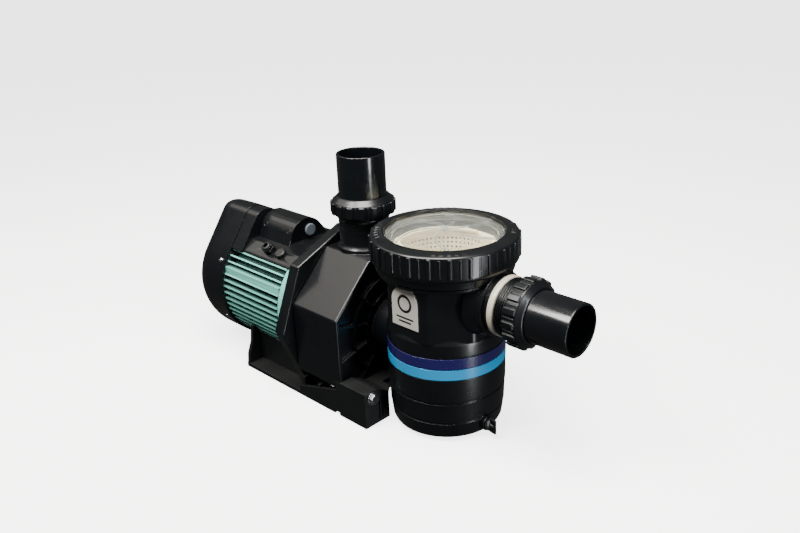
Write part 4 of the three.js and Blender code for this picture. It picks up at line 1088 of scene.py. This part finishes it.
vane = softened(block((16, -1.1, -34.5), (58, 1.1, -20.5)), 0.4)
vanes = repeated(moved(vane, Matrix.Rotation(0.3, 4, "Z")), around(6))
back_disc = softened(spun([(8.3, -38), (13, -38), (13, -37), (60, -37), (60, -34), (8.3, -34)], 96), 0.4)
front_disc = softened(spun([(22, -21), (60, -21), (60, -18), (22, -18)], 96), 0.4)
core = spun([(8.3, -34.4), (13, -34.4), (13, -18), (8.3, -18)], 48)
piece("Impeller", moved(joined(vanes, back_disc, front_disc, core), ON_SHAFT), "black_satin", "impeller")

screw = bmesh.new()
bmesh.ops.create_cone(screw, segments=6, radius1=9.4 * MM, radius2=9.4 * MM, depth=5 * MM, cap_ends=True,
                      matrix=at(0, 0, -13.1))
piece("Impeller screw", moved(softened(screw, 0.7, segments=3), ON_SHAFT), "bright_steel", "impeller_screw")

bowl = softened(spun([(26, -13), (66, -13), (66, -44), (70, -44), (70, -9), (26, -9)], 96), 0.6)
piece("Diffuser", moved(bowl, ON_SHAFT), "black_satin", "diffuser")

blade = softened(block((16, -1.1, -294), (71, 1.1, -269)), 0.5)
blades = repeated(blade, around(7))
fan_hub = softened(spun([(8.8, -296), (18, -296), (18, -266), (8.8, -266)], 64), 1.0)
fan_disc = softened(spun([(17, -270), (62, -270), (62, -267.5), (17, -267.5)], 96), 0.5)
piece("Cooling fan", moved(joined(blades, fan_hub, fan_disc), ON_SHAFT), "black_satin", "cooling_fan")

# %% [markdown]
# ## Studio
# The floor is a sheet of pale paper lit from within, so it stays bright without throwing its own
# image back into the dark plastic. The surround is dim for the same reason. Four soft boxes do the
# rest: an overhead one, a broad one behind the casing, a key from the left and a tall strip on the
# right that draws upright highlights on the pipes and the pot.

# %% Floor
low, high = CAD_BOUNDS
floor_mesh = bmesh.new()
bmesh.ops.create_grid(floor_mesh, x_segments=8, y_segments=8, size=12.0,
                      matrix=Matrix.Translation((0, 0, low.z - 0.0004)))
mesh = bpy.data.meshes.new("Floor")
floor_mesh.to_mesh(mesh)
floor_mesh.free()
floor = bpy.data.objects.new("Floor", mesh)
bpy.context.scene.collection.objects.link(floor)
paper = bpy.data.materials.new("Paper")
paper.use_nodes = True
shader = paper.node_tree.nodes["Principled BSDF"]
shader.inputs["Base Color"].default_value = (0.9, 0.9, 0.9, 1)
shader.inputs["Roughness"].default_value = 1.0
shader.inputs["Emission Color"].default_value = (1, 1, 1, 1)
shader.inputs["Emission Strength"].default_value = 3.2
mesh.materials.append(paper)
floor.visible_glossy = floor.visible_diffuse = floor.visible_shadow = False

# %% Lights
world = bpy.data.worlds.new("Studio")
bpy.context.scene.world = world
world.use_nodes = True
background = world.node_tree.nodes["Background"]
background.inputs["Color"].default_value = (1.0, 0.98, 0.95, 1)
background.inputs["Strength"].default_value = 0.07

heart = (low + high) / 2
for name, offset, size, power, colour in (
    ("Overhead", (0.20, -0.20, 1.30), (0.7, 0.7), 44, (1, 0.96, 0.90)),
    ("Behind", (-0.90, -0.50, 0.95), (1.0, 0.8), 5, (1, 0.93, 0.84)),
    ("Key", (-0.25, -0.85, 1.25), (0.6, 0.6), 36, (1, 0.98, 0.95)),
    ("Strip", (1.33, -0.06, 0.10), (0.20, 1.5), 18, (0.93, 0.98, 1)),
):
    data = bpy.data.lights.new(name, "AREA")
    data.shape = "RECTANGLE"
    data.size, data.size_y = size
    data.energy = power
    data.color = colour
    light = bpy.data.objects.new(name, data)
    light.location = heart + Vector(offset)
    light.rotation_euler = (-Vector(offset)).to_track_quat("-Z", "Y").to_euler()
    bpy.context.scene.collection.objects.link(light)

# %% [markdown]
# ## Camera
# The camera stands in front of the suction side, a little under a metre away, looking slightly
# down, so both ports and the finned motor are seen at once.

# %% Camera
AZIMUTH, ELEVATION, ROLL, DISTANCE = math.radians(42.06), math.radians(21.72), math.radians(-0.99), 0.9686
target = Vector((POT_X * MM, 0, 0.21864))
back = Vector((math.sin(AZIMUTH) * math.cos(ELEVATION), -math.cos(AZIMUTH) * math.cos(ELEVATION),
               math.sin(ELEVATION)))
level = Vector((math.cos(AZIMUTH), math.sin(AZIMUTH), 0))
upright = back.cross(level)
right = math.cos(ROLL) * level + math.sin(ROLL) * upright
up = back.cross(right)
data = bpy.data.cameras.new("Camera")
data.sensor_width, data.lens = 36, 35.78
data.shift_x, data.shift_y = -0.0566, -0.0127
camera = bpy.data.objects.new("Camera", data)
facing = Matrix((right, up, back)).transposed().to_4x4()
camera.matrix_world = Matrix.Translation(target + back * DISTANCE) @ facing
bpy.context.scene.collection.objects.link(camera)
bpy.context.scene.camera = camera

# %% [markdown]
# The CAD part's own box is printed, in metres. The dressed pump must stay inside the CAD
# part's own box.

# %% Sizes
bpy.context.view_layer.update()
print("cad", [tuple(round(c, 4) for c in v) for v in CAD_BOUNDS])
